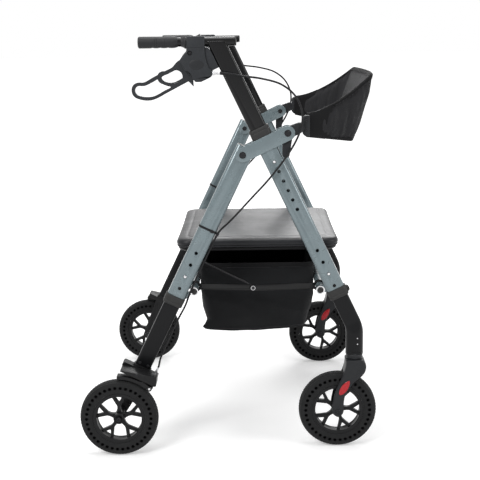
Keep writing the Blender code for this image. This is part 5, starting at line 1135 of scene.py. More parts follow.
def housings():
    """The brake housing: a clamp round the rail, cheeks over the lever's root, screw and barrel."""
    y, face = -FRAME_Y, -FRAME_Y - HOUSING_HALF
    px, pz = LEVER_X, LEVER_Z
    top = RAIL_Z + RAIL_RADIUS + RAIL_TOP
    rear, front = CLAMP_REAR, CLAMP_FRONT
    outline = [(rear, top), (front, top), *at_lever(HOUSING_CHEEK), (rear - 0.0015, RAIL_Z - 0.0200)]
    plate = extruded("housing", outline, face, y + HOUSING_HALF, upright, GREY_PLASTIC)
    bevelled(plate, 0.0022, 4, 40)
    wedge = [(front - 0.006, RAIL_Z - 0.0125), (front + 0.0060, RAIL_Z - 0.0140)]
    wedge += at_lever([(0.0320, 0.0370), (0.0400, 0.0215), (0.0512, -0.0035), (0.0360, -0.0150),
                       (0.012, -0.010)])
    inboard = extruded("wedge", wedge, y - 0.0135, y + HOUSING_HALF - 0.002, upright, GREY_PLASTIC)
    bevelled(inboard, 0.0016, 3, 40)
    carved(plate, inboard, "UNION")
    half = LEVER_HALF + GAP
    slot = arc((px, pz), 0.0187, math.radians(-50), math.radians(86), 20)
    slot += at_lever([(-0.012, 0.0235), (-0.034, 0.0275), (-0.060, 0.0235), (-0.060, -0.070),
                      (0.005, -0.070)])
    carved(plate, rod("bore", (rear - 0.05, y, RAIL_Z), (front + 0.05, y, RAIL_Z), RAIL_RADIUS + GAP,
                      GREY_PLASTIC, 48))
    carved(plate, extruded("slot", slot, y - half, y + half, upright, GREY_PLASTIC))
    low, high = RAIL_Z - 0.0135, RAIL_Z - 0.0127
    split = [(rear - 0.01, low), (front - 0.002, low), (front - 0.002, high), (rear - 0.01, high)]
    carved(plate, extruded("split", split, face - 0.01, face + 0.0006, upright, GREY_PLASTIC))
    # The screw's well is lined with painted shade.
    plate.data.materials.append(HOLE_SHADE)
    sunk = Vector((px - 0.0161, face + 0.0030, pz + 0.0290))
    carved(plate, rod("well", sunk + RIGHT * 0.0130, sunk, 0.0056, HOLE_SHADE, 32))
    screw = hex_head("screw", sunk, RIGHT, 0.0088, 0.0022, BLACK_BOLT)
    badge = []
    for k, drop in ((1.0, 0.0), (1.0, 0.00045), (0.93, 0.00085), (0.70, 0.0012), (0.35, 0.00135)):
        badge.append([Vector((px - 0.0001 + 0.0176 * k * math.cos(t), face + 0.0001 - drop,
                              pz + 0.0012 + 0.0118 * k * math.sin(t) * (1 - 0.12 * math.cos(t))))
                      for t in turns(48)])
    bump = lofted("bump", badge, FORK_PLASTIC)
    pin = rod("pin", (px, y - half - 0.001, pz), (px, y + half + 0.001, pz), 0.003, BLACK_STEEL, 24)
    profile = [(0, 0), (0.0028, 0), (0.0028, 0.0085), (0.0052, 0.0085), (0.0052, 0.0125), (0.0028, 0.0125),
               (0.0028, 0.0140)]
    for i in range(33):
        at = i / 32
        r = 0.0036 - (0.0004 if i % 4 in (1, 2) and 0.1 < at < 0.75 else 0.0)
        profile.append((r if 0 < at < 1 else 0.0031, 0.0140 + 0.0110 * at))
    profile += [(0.0012, 0.0250), (0, 0.0250)]
    barrel = revolved("barrel", profile, (px + 0.030, y - 0.0163, pz - 0.0195), (1, 0, 0), BRIGHT_STEEL, 36)
    housing = merged("housing", plate, screw, bump, pin, barrel)
    handed(housing, "lever_housing", "handle_{}", ["brake_housing"])


def levers():
    """The loop lever: one outline, smooth but for its pointed tab, two openings, ridges at its root."""
    pivot, y = (LEVER_X, LEVER_Z), -FRAME_Y
    outline = smooth_flat(LEVER_OUTLINE[LEVER_TAB + 1:] + LEVER_OUTLINE[:LEVER_TAB], 110)
    outline = at_lever(outline + [LEVER_OUTLINE[LEVER_TAB]])
    holes = [smooth_flat(at_lever(LEVER_WINDOW), 64, True), smooth_flat(at_lever(LEVER_RING), 48, True),
             circle(pivot, 0.0033, 24)]
    body = extruded("lever", outline, y - LEVER_HALF, y + LEVER_HALF, upright, GREY_PLASTIC, holes)
    parts = [bevelled(body, 0.0017, 4, 50)]
    for r, start, end in ((0.0235, 168, 262), (0.0275, 160, 258), (0.0315, 157, 250)):
        for side in (-1, 1):
            at = y + side * (LEVER_HALF - 0.0002)
            path = [upright(u, v, at) for u, v in arc(pivot, r, math.radians(start), math.radians(end), 24)]
            parts.append(swept("rib", path, oval(0.0011, 0.0007, 10), GREY_PLASTIC))
    profile = [(0, -0.0006), (0.0013, -0.0006), (0.0013, 0.0003), (0.0009, 0.0006), (0, 0.0006)]
    for u, v in at_lever([(-0.1430, -0.0790), (-0.1335, -0.0815), (-0.1240, -0.0828), (-0.1145, -0.0828)]):
        parts.append(revolved("dot", profile, (u, y, v), (0, 0, -1), BRIGHT_STEEL, 12))
    handed(merged("lever", *parts), "loop_lever", "lever_{}", ["brake_lever"])


# Legs
FOOT_WIDTH, FOOT_DEPTH, FOOT_Z, BEND_RADIUS = 0.0445, 0.036, 0.248, 0.075
CUP_RADIUS, CUP_LOW, CUP_HIGH, FORK_TOP = 0.021, 0.2365, 0.2520, 0.2362
STEM_RADIUS, STEM_LOW, STEM_TOP, AXLE_RADIUS = 0.006, 0.2262, 0.2722, 0.0045
FORK_HALF, FORK_TIP, FORK_EDGE, WHEEL_ROOM, WHEEL_HOLLOW = 0.0267, 0.015, 0.0030, 0.0202, 0.1032
LEG_TOP, REAR_LEG_SPAN = 0.183, (0.3138, 0.6097)
REFLECTOR_LENGTH, REFLECTOR_WIDTH, REFLECTOR_LEAN = 0.0465, 0.0180, math.radians(57)
REFLECTOR_MIDDLE = Vector((0.2965, 0, 0.1640))
FORK_FRONT = [(0.3453, 0.2362), (0.3503, 0.2272), (0.3518, 0.2162), (0.3483, 0.2032), (0.3388, 0.1912),
              (0.3218, 0.1782), (0.3118, 0.1642), (0.3000, 0.1450), (0.2955, 0.1220), (0.2950, 0.1000)]
FORK_BACK = [(0.3000, 0.2362), (0.3000, 0.2242), (0.2965, 0.2080), (0.2870, 0.1830), (0.2750, 0.1560),
             (0.2680, 0.1300), (0.2650, 0.1120), (0.2650, 0.1000)]


def level_x(points, z):
    """Where a curve of (x, z) points, given from the top down, passes a height."""
    for (x0, z0), (x1, z1) in zip(points, points[1:]):
        if z >= z1:
            return x0 + (x1 - x0) * (z0 - z) / (z0 - z1) if z0 > z1 else x0
    return points[-1][0]


def front_legs():
    """The inner leg: straight, then bent to the caster's upright axis and widened into a round foot."""
    lean = math.atan2(-FRONT_UP.x, FRONT_UP.z)
    tangent = BEND_RADIUS * math.tan(lean / 2)
    centre = BEND + FRONT_UP * tangent - FRONT_ACROSS * BEND_RADIUS
    stations = [(BEND + FRONT_UP * s, FRONT_UP, 0.0) for s in (LEG_TOP, 0.13, 0.08, 0.05, 0.035, tangent)]
    for i in range(1, 17):
        turn = lean * (1 - i / 16)
        up, across = Vector((-math.sin(turn), 0, math.cos(turn))), Vector((math.cos(turn), 0, math.sin(turn)))
        stations.append((centre + across * BEND_RADIUS, up, i / 16))
    low = stations[-1][0].z
    stations += [(Vector((BEND.x, 0, low + (FOOT_Z - low) * t)), SKY, 1.0) for t in (0.3, 0.6, 0.8)]
    groove = ((0.0085, 0.0), (0.0078, 0.0007), (0.0068, 0.0007), (0.0061, 0.0), (0.0014, 0.0),
              (0.0, 0.0012))
    rings = [(middle, up, share * share * (3 - 2 * share), 0.0) for middle, up, share in stations]
    rings += [(Vector((BEND.x, 0, FOOT_Z + high)), SKY, 1.0, draw) for high, draw in groove]
    skin = []
    for middle, up, share, draw in rings:
        width = MEMBER_WIDTH + (FOOT_WIDTH - MEMBER_WIDTH) * share - 2 * draw
        depth = MEMBER_DEPTH + (FOOT_DEPTH - MEMBER_DEPTH) * share - 2 * draw
        corner = MEMBER_CORNER + (FOOT_DEPTH / 2 - 0.001 - MEMBER_CORNER) * share - draw
        across = Vector((up.z, 0, -up.x))
        shape = round_rectangle(width, depth, corner)
        skin.append([middle + RIGHT * (FRAME_Y + v) + across * u for u, v in shape])
    leg = lofted("leg", skin, SATIN_BLACK)
    bore = round_rectangle(MEMBER_WIDTH - 2 * TUBE_WALL, MEMBER_DEPTH - 2 * TUBE_WALL, 0.005)
    carved(leg, lofted("bore", [[front_point(at, u, v) for u, v in bore] for at in (0.03, 0.2)], SATIN_BLACK))
    drilled(leg, front_point, [FRONT_LEG_HOLES[1]], BUTTON_RADIUS + GAP, MEMBER_DEPTH / 2 - 2 * TUBE_WALL,
            0.02, SATIN_BLACK)
    foot, inner, r = Vector((BEND.x, -FRAME_Y, 0)), STEM_RADIUS + GAP, CUP_RADIUS
    cup = [(inner, CUP_LOW), (r - 0.0022, CUP_LOW), (r - 0.0010, CUP_LOW + 0.0006), (r, CUP_LOW + 0.0020),
           (r, CUP_LOW + 0.0052), (r - 0.0005, CUP_LOW + 0.0056), (r - 0.0005, CUP_LOW + 0.0064),
           (r, CUP_LOW + 0.0068), (r, CUP_HIGH - 0.0042), (r - 0.0008, CUP_HIGH - 0.0030),
           (r - 0.0026, CUP_HIGH - 0.0022), (r - 0.0026, CUP_HIGH), (inner, CUP_HIGH)]
    low, high = foot + SKY * (FOOT_Z - 0.01), foot + SKY * (STEM_TOP + 0.0004)
    carved(leg, rod("hole", low, high, inner, SATIN_BLACK))
    shim = [(inner, FORK_TOP), (0.0150, FORK_TOP), (0.0150, CUP_LOW), (inner, CUP_LOW)]
    pieces = [leg, revolved("cup", cup, foot, SKY, FORK_PLASTIC, 64),
              revolved("shim", shim, foot, SKY, BRIGHT_STEEL, 48)]
    head = [(0, 0), (0.0017, 0), (0.0015, 0.0006), (0.0008, 0.0009), (0, 0.0010)]
    for z in (0.2933, 0.2780):
        at = Vector((BEND.x + 0.0062, -FRAME_Y - FOOT_DEPTH / 2 + 0.0001, z))
        pieces.append(revolved("rivet", head, at, RIGHT, BRIGHT_STEEL, 20))
    handed(merged("leg", *pieces), "inner_front_leg", "front_leg_{}", ["front_leg"])


def rear_legs():
    """The straight inner leg, drilled for its button."""
    leg = tube("leg", rear_point, REAR_LEG_SPAN, MEMBER_WIDTH, REAR_MEMBER_DEPTH, MEMBER_CORNER, SATIN_BLACK,
               [REAR_LEG_HOLES[1]], BUTTON_RADIUS + GAP)
    handed(leg, "inner_rear_leg", "rear_leg_{}", ["rear_leg"])


def forks():
    """The moulded caster fork, shaped by its sections from crown to hub, with its kingpin and axle."""
    axle_x, axle_z = FRONT_WHEEL.x, FRONT_WHEEL.z
    front, back, end = smooth_flat(FORK_FRONT, 90), smooth_flat(FORK_BACK, 90), FORK_TIP
    shoulder = FORK_TOP - FORK_EDGE
    levels = [FORK_TOP, FORK_TOP - 0.0006, FORK_TOP - 0.0016, shoulder]
    levels += [shoulder - (shoulder - axle_z) * i / 52 for i in range(1, 53)]
    levels += [axle_z - end * math.sin(math.pi / 2 * i / 12) for i in range(1, 12)] + [axle_z - end * 0.9985]
    skin = []
    for z in levels:
        below = FORK_EDGE - min(FORK_TOP - z, FORK_EDGE)
        draw = max(0.0, 0.0026 - math.sqrt(max(0.0, FORK_EDGE ** 2 - below ** 2)) * 0.87)
        if z >= axle_z:
            low, high = level_x(back, z) + draw, level_x(front, z) - draw
        else:
            reach = math.sqrt(max(end ** 2 - (axle_z - z) ** 2, 1e-8))
            low, high = axle_x - reach, axle_x + reach
        half = FORK_HALF - draw
        corner = min(0.0062, (high - low) / 2 - 0.0002)
        shape = round_rectangle(high - low, 2 * half, max(corner, 0.0001), 6)
        skin.append([Vector(((low + high) / 2 + u, -FRAME_Y + v, z)) for u, v in shape])
    body = lofted("fork", skin, FORK_PLASTIC, False, 45)
    centre = Vector((axle_x, -FRAME_Y, axle_z))
    hollow = [(0, -WHEEL_ROOM), (WHEEL_HOLLOW - 0.006, -WHEEL_ROOM), (WHEEL_HOLLOW, 0.006 - WHEEL_ROOM),
              (WHEEL_HOLLOW, WHEEL_ROOM - 0.006), (WHEEL_HOLLOW - 0.006, WHEEL_ROOM), (0, WHEEL_ROOM)]
    carved(body, revolved("hollow", hollow, centre, (0, 1, 0), FORK_PLASTIC, 96))
    stem, half = [Vector((BEND.x, -FRAME_Y, z)) for z in (STEM_LOW, STEM_TOP)], RIGHT * (FORK_HALF - 0.0020)
    parts = [body, rod("kingpin", *stem, STEM_RADIUS, BRIGHT_STEEL, 32, 0.001),
             rod("axle", centre - half, centre + half, AXLE_RADIUS, BRIGHT_STEEL)]
    ring = [(0.0, 0), (0.0112, 0), (0.0112, 0.0009), (0.0104, 0.0015), (0.0080, 0.0015), (0.0074, 0.0008),
            (0, 0.0008)]
    for side in (-1, 1):
        face = centre + RIGHT * side * (FORK_HALF - 0.0004)
        parts.append(revolved("ring", ring, face, RIGHT * side, FORK_PLASTIC, 48))
        spot = face + RIGHT * side * 0.0008
        parts.append(hex_head("screw", spot, RIGHT * side, 0.0110, 0.0030, BLACK_BOLT))
        parts.append(crown_rib(side))
    handed(merged("fork", *parts), "moulded_fork", "caster_{}", ["caster_fork"])


def crown_rib(side):
    """A low moulded edge that runs down the fork's face beside its front edge."""
    line = [(0.3350, 0.2230), (0.3335, 0.2080), (0.3265, 0.1965), (0.3125, 0.1850), (0.3025, 0.1700)]
    path = [upright(x, z, -FRAME_Y - side * (FORK_HALF - 0.0002)) for x, z in smooth_flat(line, 28)]
    return swept("rib", path, oval(0.0007, 0.0006, 8), FORK_PLASTIC)


def reflectors():
    """Red prism reflectors in dark bezels on both faces of the fork: pointed above, blunt below."""
    along = Vector((math.cos(REFLECTOR_LEAN), 0, math.sin(REFLECTOR_LEAN)))
    across = Vector((-along.z, 0, along.x))
    outline = []
    for turn in turns(64):
        u, v = math.cos(turn), math.sin(turn)
        taper = 1 - 0.30 * max(u, 0) ** 2 + 0.08 * max(-u, 0)
        v = math.copysign(abs(v) ** 1.12, v) * taper
        outline.append((u * REFLECTOR_LENGTH / 2, v * REFLECTOR_WIDTH / 2))
    bezel = ((1.06, -0.0030), (1.06, 0.0003), (1.03, 0.0007), (1.0, 0.0007), (0.98, 0.0003))
    lens = ((0.97, -0.0010), (0.97, 0.0006), (0.93, 0.0011), (0.75, 0.0014), (0.4, 0.0016))
    for face, side, nodes in (("outer", 1, ["fork_reflector"]), ("inner", -1, [])):
        shells = []
        for steps, finish in ((bezel, FORK_PLASTIC), (lens, REFLECTOR_RED)):
            rings = []
            for share, high in steps:
                base = REFLECTOR_MIDDLE + RIGHT * (FRAME_Y + side * (FORK_HALF + high))
                rings.append([base + along * u * share + across * v * share for u, v in outline])
            shells.append(lofted("shell", rings, finish))
        handed(merged("reflector", *shells), f"{face}_reflector", "caster_{}", nodes)


# Brakes
BRACKET_TOP, BRACKET_IN, OVER_TYRE = 0.6100, -0.0134, 0.058
WHEEL_DOWN, ARM_IN, ARM_OUT = 0.73891, -0.0114, -0.0024
SHOE_PIN, SHOE_IN, SHOE_OUT, SHOE_RADIUS = (0.6345, 0.0375), 0.0320, 0.0560, 0.1035
CABLE_RADIUS, CABLE_SIDE, CABLE_EDGE, CABLE_REACH = 0.0025, 0.0231, 0.0275, 0.180
CABLE_START = Vector((-0.0070, -0.3473, 0.9625))
CABLE_END, CLIP_AT, CLIP_HALF, SLIDE_AT = (0.0375, 0.0041), 0.2050, 0.0028, 0.424


def rear_brackets():
    """Socket plate under the leg, nose with the brake's pin, ribbed arm, boss and stub axle."""
    d = BRACKET_TOP
    plate = [(d, -0.047), (d + 0.003, -0.050), (d + 0.011, -0.050), (d + 0.013, -0.048), (d + 0.013, 0.047),
             (d + 0.002, 0.047), (d, 0.045)]
    base = bevelled(extruded("plate", plate, BRACKET_IN, 0.0140, rear_point, BLACK_STEEL), 0.0014, 3)
    cover = [(d + 0.0085, -0.047), (d + 0.0105, -0.0495), (d + 0.013, -0.048), (d + 0.013, 0.047),
             (d + 0.010, 0.050), (d - 0.0085, 0.043), (d - 0.0107, 0.040)]
    cover = bevelled(extruded("cover", cover, 0.0124, OVER_TYRE, rear_point, BLACK_STEEL), 0.0014, 3)
    spot = rear_point(d + 0.004, -0.006, OVER_TYRE)
    screw = hex_head("screw", spot, RIGHT, 0.0075, 0.0016, BLACK_BOLT)
    nose = [(d + 0.004, 0.0280), (d + 0.004, 0.0462), (d + 0.030, 0.0462), (d + 0.033, 0.0430),
            (d + 0.033, 0.0310), (d + 0.026, 0.0280)]
    block = extruded("nose", nose, BRACKET_IN + 0.001, SHOE_IN - GAP, rear_point, BLACK_STEEL)
    bevelled(block, 0.0012, 3)
    wheel = WHEEL_DOWN
    arm = [(d + 0.004, -0.023), (d + 0.004, 0.025), (wheel - 0.060, 0.020)]
    arm += [(wheel + u, v) for u, v in arc((0, 0), 0.014, math.radians(60), math.radians(-60), 20)]
    arm += [(wheel - 0.060, -0.018)]
    web = extruded("arm", arm, ARM_IN, ARM_OUT, rear_point, BLACK_STEEL)
    pocket = [(d + 0.020, -0.0150), (d + 0.020, 0.0165), (wheel - 0.060, 0.0135), (wheel - 0.022, 0.0085),
              (wheel - 0.022, -0.0085), (wheel - 0.060, -0.0115)]
    for low, high in ((ARM_IN - 0.01, ARM_IN + 0.0022), (ARM_OUT - 0.0022, ARM_OUT + 0.01)):
        carved(web, extruded("pocket", pocket, low, high, rear_point, BLACK_STEEL))
    bevelled(web, 0.0007, 2)
    ribs = []
    for ends in (((d + 0.020, -0.013), (wheel - 0.064, 0.0125)),
                 ((wheel - 0.064, -0.0105), (wheel - 0.024, 0.0075))):
        a, b = Vector(ends[0]), Vector(ends[1])
        along = (b - a).normalized()
        side = Vector((-along.y, along.x)) * 0.0011
        bar = [tuple(corner) for corner in (a + side, b + side, b - side, a - side)]
        ribs.append(extruded("rib", bar, ARM_IN + 0.0012, ARM_OUT - 0.0012, rear_point, BLACK_STEEL))
    hub_in, hub_out = REAR_WHEEL.y - FRAME_Y - HUB_HALF - GAP, REAR_WHEEL.y - FRAME_Y + HUB_HALF
    boss = rod("boss", rear_point(wheel, 0, ARM_OUT - 0.002), rear_point(wheel, 0, hub_in), 0.009,
               BLACK_STEEL, 40, 0.0008)
    stub = rod("stub", rear_point(wheel, 0, ARM_OUT - 0.001), rear_point(wheel, 0, hub_out + 0.002),
               AXLE_RADIUS, BRIGHT_STEEL, 32, 0.0004)
    cap = hex_head("cap", rear_point(wheel, 0, hub_out + 0.0004), RIGHT, NUT_FLATS, 0.0042, BLACK_BOLT)
    back = hex_head("back", rear_point(wheel, 0, ARM_IN), -RIGHT, 0.013, 0.0045, BLACK_BOLT, False)
    pin = rod("pin", rear_point(*SHOE_PIN, SHOE_IN - 0.004), rear_point(*SHOE_PIN, OVER_TYRE - 0.0015), 0.003,
              BRIGHT_STEEL, 32, 0.0003)
    bolts = [hex_head("bolt", rear_point(d - 0.014, across, REAR_MEMBER_DEPTH / 2), RIGHT, 0.0076, 0.0020,
                      BLACK_BOLT) for across in (-0.0108, 0.0117)]
    socket = round_rectangle(MEMBER_WIDTH + 0.0050, REAR_MEMBER_DEPTH + 0.0036, MEMBER_CORNER + 0.0018)
    inside = round_rectangle(MEMBER_WIDTH + 0.0004, REAR_MEMBER_DEPTH + 0.0004, MEMBER_CORNER + 0.0002)
    lip = [(socket, d + 0.0005), (socket, d - 0.0060), (inside, d - 0.0068), (inside, d + 0.0005)]
    cuff = lofted("cuff", [[rear_point(at, u, v) for u, v in shape] for shape, at in lip], BLACK_STEEL, True)
    bracket = merged("bracket", base, cover, screw, block, web, *ribs, boss, stub, cap, back, pin, cuff,
                     *bolts)
    handed(bracket, "wheel_bracket", "rear_leg_{}", ["rear_wheel_bracket"])


def shoes():
    """The brake shoe: a curved plate with cross ribs toward the tyre, turning on the bracket's pin."""
    def at(turn, radius):
        return WHEEL_DOWN - radius * math.cos(turn), radius * math.sin(turn)

    limit = WHEEL_DOWN - BRACKET_TOP - 0.013 - 0.0012
    rear, front = math.radians(-27), math.radians(13)
    outline = [at(rear + (front - rear) * i / 40, SHOE_RADIUS + 0.0006 * (i % 4 == 3)) for i in range(41)]
    outline += arc(SHOE_PIN, 0.0066, math.radians(-62), math.radians(128), 14)
    outline += [(WHEEL_DOWN - limit, SHOE_PIN[1] - 0.022)]
    last = math.radians(2.6)
    outline += [at(t, min(SHOE_RADIUS + 0.0085, limit / math.cos(t))) for t in
                [last + (rear - last) * i / 16 for i in range(17)]]
    hole = circle(SHOE_PIN, 0.0033, 20)
    plate = extruded("shoe", outline, SHOE_IN, SHOE_OUT, rear_point, BLACK_STEEL, [hole])
    handed(bevelled(plate, 0.0008, 2), "curved_shoe", "brake_shoe_{}", ["brake_shoe"])


def cable_points():
    """The right brake cable's route, from the lever's barrel to the brake, as the CAD model has it."""
    start = CABLE_START
    nose = rear_point(BRACKET_TOP - 0.0006, *CABLE_END)
    points = [start + Vector((0.0006, 0, 0)), start + Vector((0.0165, -0.00297, 0))]
    for share, reach in ((0.9648, 0.279), (0.9270, 0.546), (0.8566, 0.776), (0.7258, 0.916),
                         (0.5446, 0.958), (0.3635, 0.906), (0.1823, 0.782)):
        middle = PIVOT + (start - PIVOT) * share
        points.append(Vector((middle.x + CABLE_REACH * reach, -FRAME_Y - CABLE_SIDE, middle.z)))
    points[2].y += 0.004
    for share, reach in ((-0.0674, 0.540), (0.0365, 0.465), (0.1521, 0.346), (0.2604, 0.236)):
        points.append(rear_point(BRACKET_TOP * share, CABLE_REACH * reach, CABLE_SIDE))
    points[-1].y += 0.006
    for share, away, out in ((0.328, 0.0010, 1.67), (0.393, 0, 1), (0.525, 0, 1), (0.623, 0.0020, 1),
                             (0.672, 0.0045, 1), (0.738, 0.0030, 1), (0.852, 0.0030, 1), (0.934, 0.0060, 0.33)):
        points.append(rear_point(BRACKET_TOP * share, CABLE_EDGE + away, 0.006 * out))
    return smooth_path(points + [nose + REAR_UP * 0.022, nose], 288)


def round_tube(name, path, radius, finish, steps=12):
    """A round tube along a path, its section carried without twist."""
    first = (path[1] - path[0]).normalized()
    side = first.orthogonal().normalized()
    rings = []
    for i, point in enumerate(path):
        along = (path[min(i + 1, len(path) - 1)] - path[max(i - 1, 0)]).normalized()
        side = (side - along * side.dot(along)).normalized()
        other = along.cross(side)
        rings.append([point + (side * math.cos(t) + other * math.sin(t)) * radius for t in turns(steps)])
    return lofted(name, rings, finish)


def cables():
    """Each brake cable in three runs, split at the fold and at its clip on the rear tube."""
    path = cable_points()
    every = range(len(path))
    fold = min(every, key=lambda i: abs(path[i].z - PIVOT.z) + (path[i].x < 0.1))
    clip = min(every, key=lambda i: (path[i] - rear_point(CLIP_AT, CABLE_EDGE, 0.009)).length)
    slide = min(every, key=lambda i: (path[i] - rear_point(SLIDE_AT, CABLE_EDGE, 0.006)).length)
    runs = (("upper", 0, fold, "handle_{}", "root", 4, fold),
            ("middle", fold, clip, "root", "rear", fold, clip),
            ("lower", clip, len(path) - 1, "rear", "rear_leg_{}", slide, len(path) - 8))
    for name, first, last, body, other, bend, end in runs:
        run = round_tube(name, path[first:last + 1], CABLE_RADIUS, CABLE_SLEEVE)
        for piece, (suffix, side) in zip((run, mirrored(run, "twin")), SIDES):
            piece.name = f"brake_cable_{name}_{suffix}"
            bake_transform(piece)
            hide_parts(f"brake_cable_{suffix}")
    cable_ends(path)


def coil(name, start, end, radius, wire, loops, finish):
    """A wire wound round the line from start to end."""
    axis = (end - start).normalized()
    side = axis.orthogonal().normalized()
    other = axis.cross(side)
    count = loops * 14
    points = [start + (end - start) * i / count + (side * math.cos(t) + other * math.sin(t)) * radius
              for i, t in enumerate([2 * math.pi * k / 14 for k in range(count + 1)])]
    return round_tube(name, points, wire, finish, 6)


def cable_ends(path):
    """Ferrule and boot at the lever, clip band on the rear tube, adjuster and spring at the brake."""
    profile = [(0.0026, 0.0150), (0.0042, 0.0004), (0.0044, 0.0060), (0.0036, 0.0075), (0.0034, 0.0145)]
    boot = revolved("boot", profile, path[0], path[6] - path[0], CABLE_SLEEVE, 24)
    handed(boot, "cable_boot", "handle_{}")
    at, depth, width = CLIP_AT, REAR_TUBE_DEPTH, TUBE_WIDTH
    outer = round_rectangle(width + 0.0024, depth + 0.0024, TUBE_CORNER + 0.0012)
    inner = round_rectangle(width + 0.0003, depth + 0.0003, TUBE_CORNER)
    low, high = at - CLIP_HALF, at + CLIP_HALF
    band = [(outer, low), (outer, high), (inner, high), (inner, low)]
    rings = [[rear_point(s, u, v) for u, v in shape] for shape, s in band]
    strap = bevelled(lofted("strap", rings, CABLE_SLEEVE, True), 0.0004, 2)
    near = min(path, key=lambda p: (p - rear_point(at, CABLE_EDGE, 0.009)).length)
    low, high = CABLE_RADIUS + 0.0001, CABLE_RADIUS + 0.0014
    shape = [(low, -0.0035), (high, -0.0035), (high, 0.0035), (low, 0.0035)]
    holder = revolved("holder", shape, near, REAR_UP, CABLE_SLEEVE, 28)
    buckle = extruded("buckle", round_rectangle(0.0075, 0.0075, 0.001, 3), depth / 2 + 0.0008,
                      depth / 2 + 0.0036, lambda u, v, w: rear_point(at + v, 0.012 + u, w), CABLE_SLEEVE)
    handed(merged("clip", strap, holder, bevelled(buckle, 0.0005, 2)), "cable_clip", "rear")
    profile = [(0, -0.0190), (0.0030, -0.0190), (0.0034, -0.0182), (0.0034, -0.0110), (0.0042, -0.0106),
               (0.0042, -0.0066), (0.0028, -0.0062), (0.0028, -0.0046), (0.0050, -0.0044), (0.0050, -0.0004),
               (0, -0.0004)]
    wire_end, first, last = [rear_point(BRACKET_TOP + down, *CABLE_END) for down in (0.034, 0.0335, 0.050)]
    pieces = [revolved("adjuster", profile, path[-1], -REAR_UP, BRIGHT_STEEL, 6, 25),
              rod("wire", path[-1], wire_end, 0.0008, BRIGHT_STEEL, 12),
              coil("spring", first, last, 0.0036, 0.00055, 7, BRIGHT_STEEL)]
    handed(merged("adjuster", *pieces), "brake_adjuster", "rear_leg_{}")


def lift_straps():
    """Webbing from each knee up to the seat's rear edge, sewn in a loop round the knee pin."""
    section = round_rectangle(0.0014, 0.0150, 0.0006, 2)
    for suffix, side in SIDES:
        y = side * STRAP_Y
        path = [upright(x, z, y) for x, z in ((0.066, 0.4085), (0.056, 0.4180), (0.010, 0.4419),
                                              (-0.062, 0.4793), (-0.090, 0.4935), (-0.104, 0.4960))]
        loop = [upright(x, z, y) for x, z in arc(KNEE, 0.0042, math.radians(150), math.radians(390), 24)]
        pieces = [swept("strap", smooth_path(path, 40), section, WEBBING),
                  swept("wrap", loop, section, WEBBING)]
        for k in range(4):
            spot = path[1].lerp(path[2], 0.15 + 0.06 * k) + Vector((0.0004, 0, 0.0009))
            half = Vector((0, 0.006, 0))
            pieces.append(rod("stitch", spot - half, spot + half, 0.0004, THREAD, 6))
        single(merged(f"lift_strap_{suffix}", *pieces), "brace_front")


# Soft parts
SEAT_REAR, SEAT_FRONT, SEAT_WIDTH, PAN_LOW = -0.135, 0.292, 0.462, 0.4968
SEAT_MIDDLE, EAR_Y, EAR_HALF, EAR_WALL = (SEAT_REAR + SEAT_FRONT) / 2, 0.170, 0.015, 0.0035
CUSHION_LOW, CUSHION_EDGE, SEAT_CROWN = 0.5061, 0.5295, 0.0035
BAG_REAR, BAG_FRONT, BAG_WIDTH, BAG_TOP, BAG_BOTTOM = -0.07403, 0.22617, 0.440, 0.463, 0.2735
BAG_MIDDLE = (BAG_REAR + BAG_FRONT) / 2
PANEL_HALF, BAND_HALF, PANEL_BOW, PANEL_SHARE = 0.228, 0.325, 0.012, 0.535
PANEL_TOP, PANEL_LOW = Vector((0.372, 0, 0.950)), Vector((0.322, 0, 0.782))
END_TOP, END_LOW = Vector((0.203, 0, 0.861)), Vector((0.203, 0, 0.804))


def folds(point, scale, seed=0.0):
    """Smooth noise between about -1 and 1, the same each run."""
    return noise.noise(Vector(point) * scale + Vector((seed, seed * 0.7, -seed)))


def seat_outline(inset, corner, bow=0.0):
    """The seat in plan, drawn in by inset; bow pulls its sides in between the corners."""
    length, width = SEAT_FRONT - SEAT_REAR - 2 * inset, SEAT_WIDTH - 2 * inset
    points = round_rectangle(length, width, corner, 14)
    dense = []
    for k, ((u0, v0), (u1, v1)) in enumerate(zip(points, points[1:] + points[:1])):
        count = (36 if k % 30 == 14 else 30) if k % 15 == 14 else 1
        dense += [(u0 + (u1 - u0) * i / count, v0 + (v1 - v0) * i / count) for i in range(count)]
    return [(u * (1 - bow * (1 - (2 * v / width) ** 2)), v * (1 - bow * (1 - (2 * u / length) ** 2)))
            for u, v in dense]


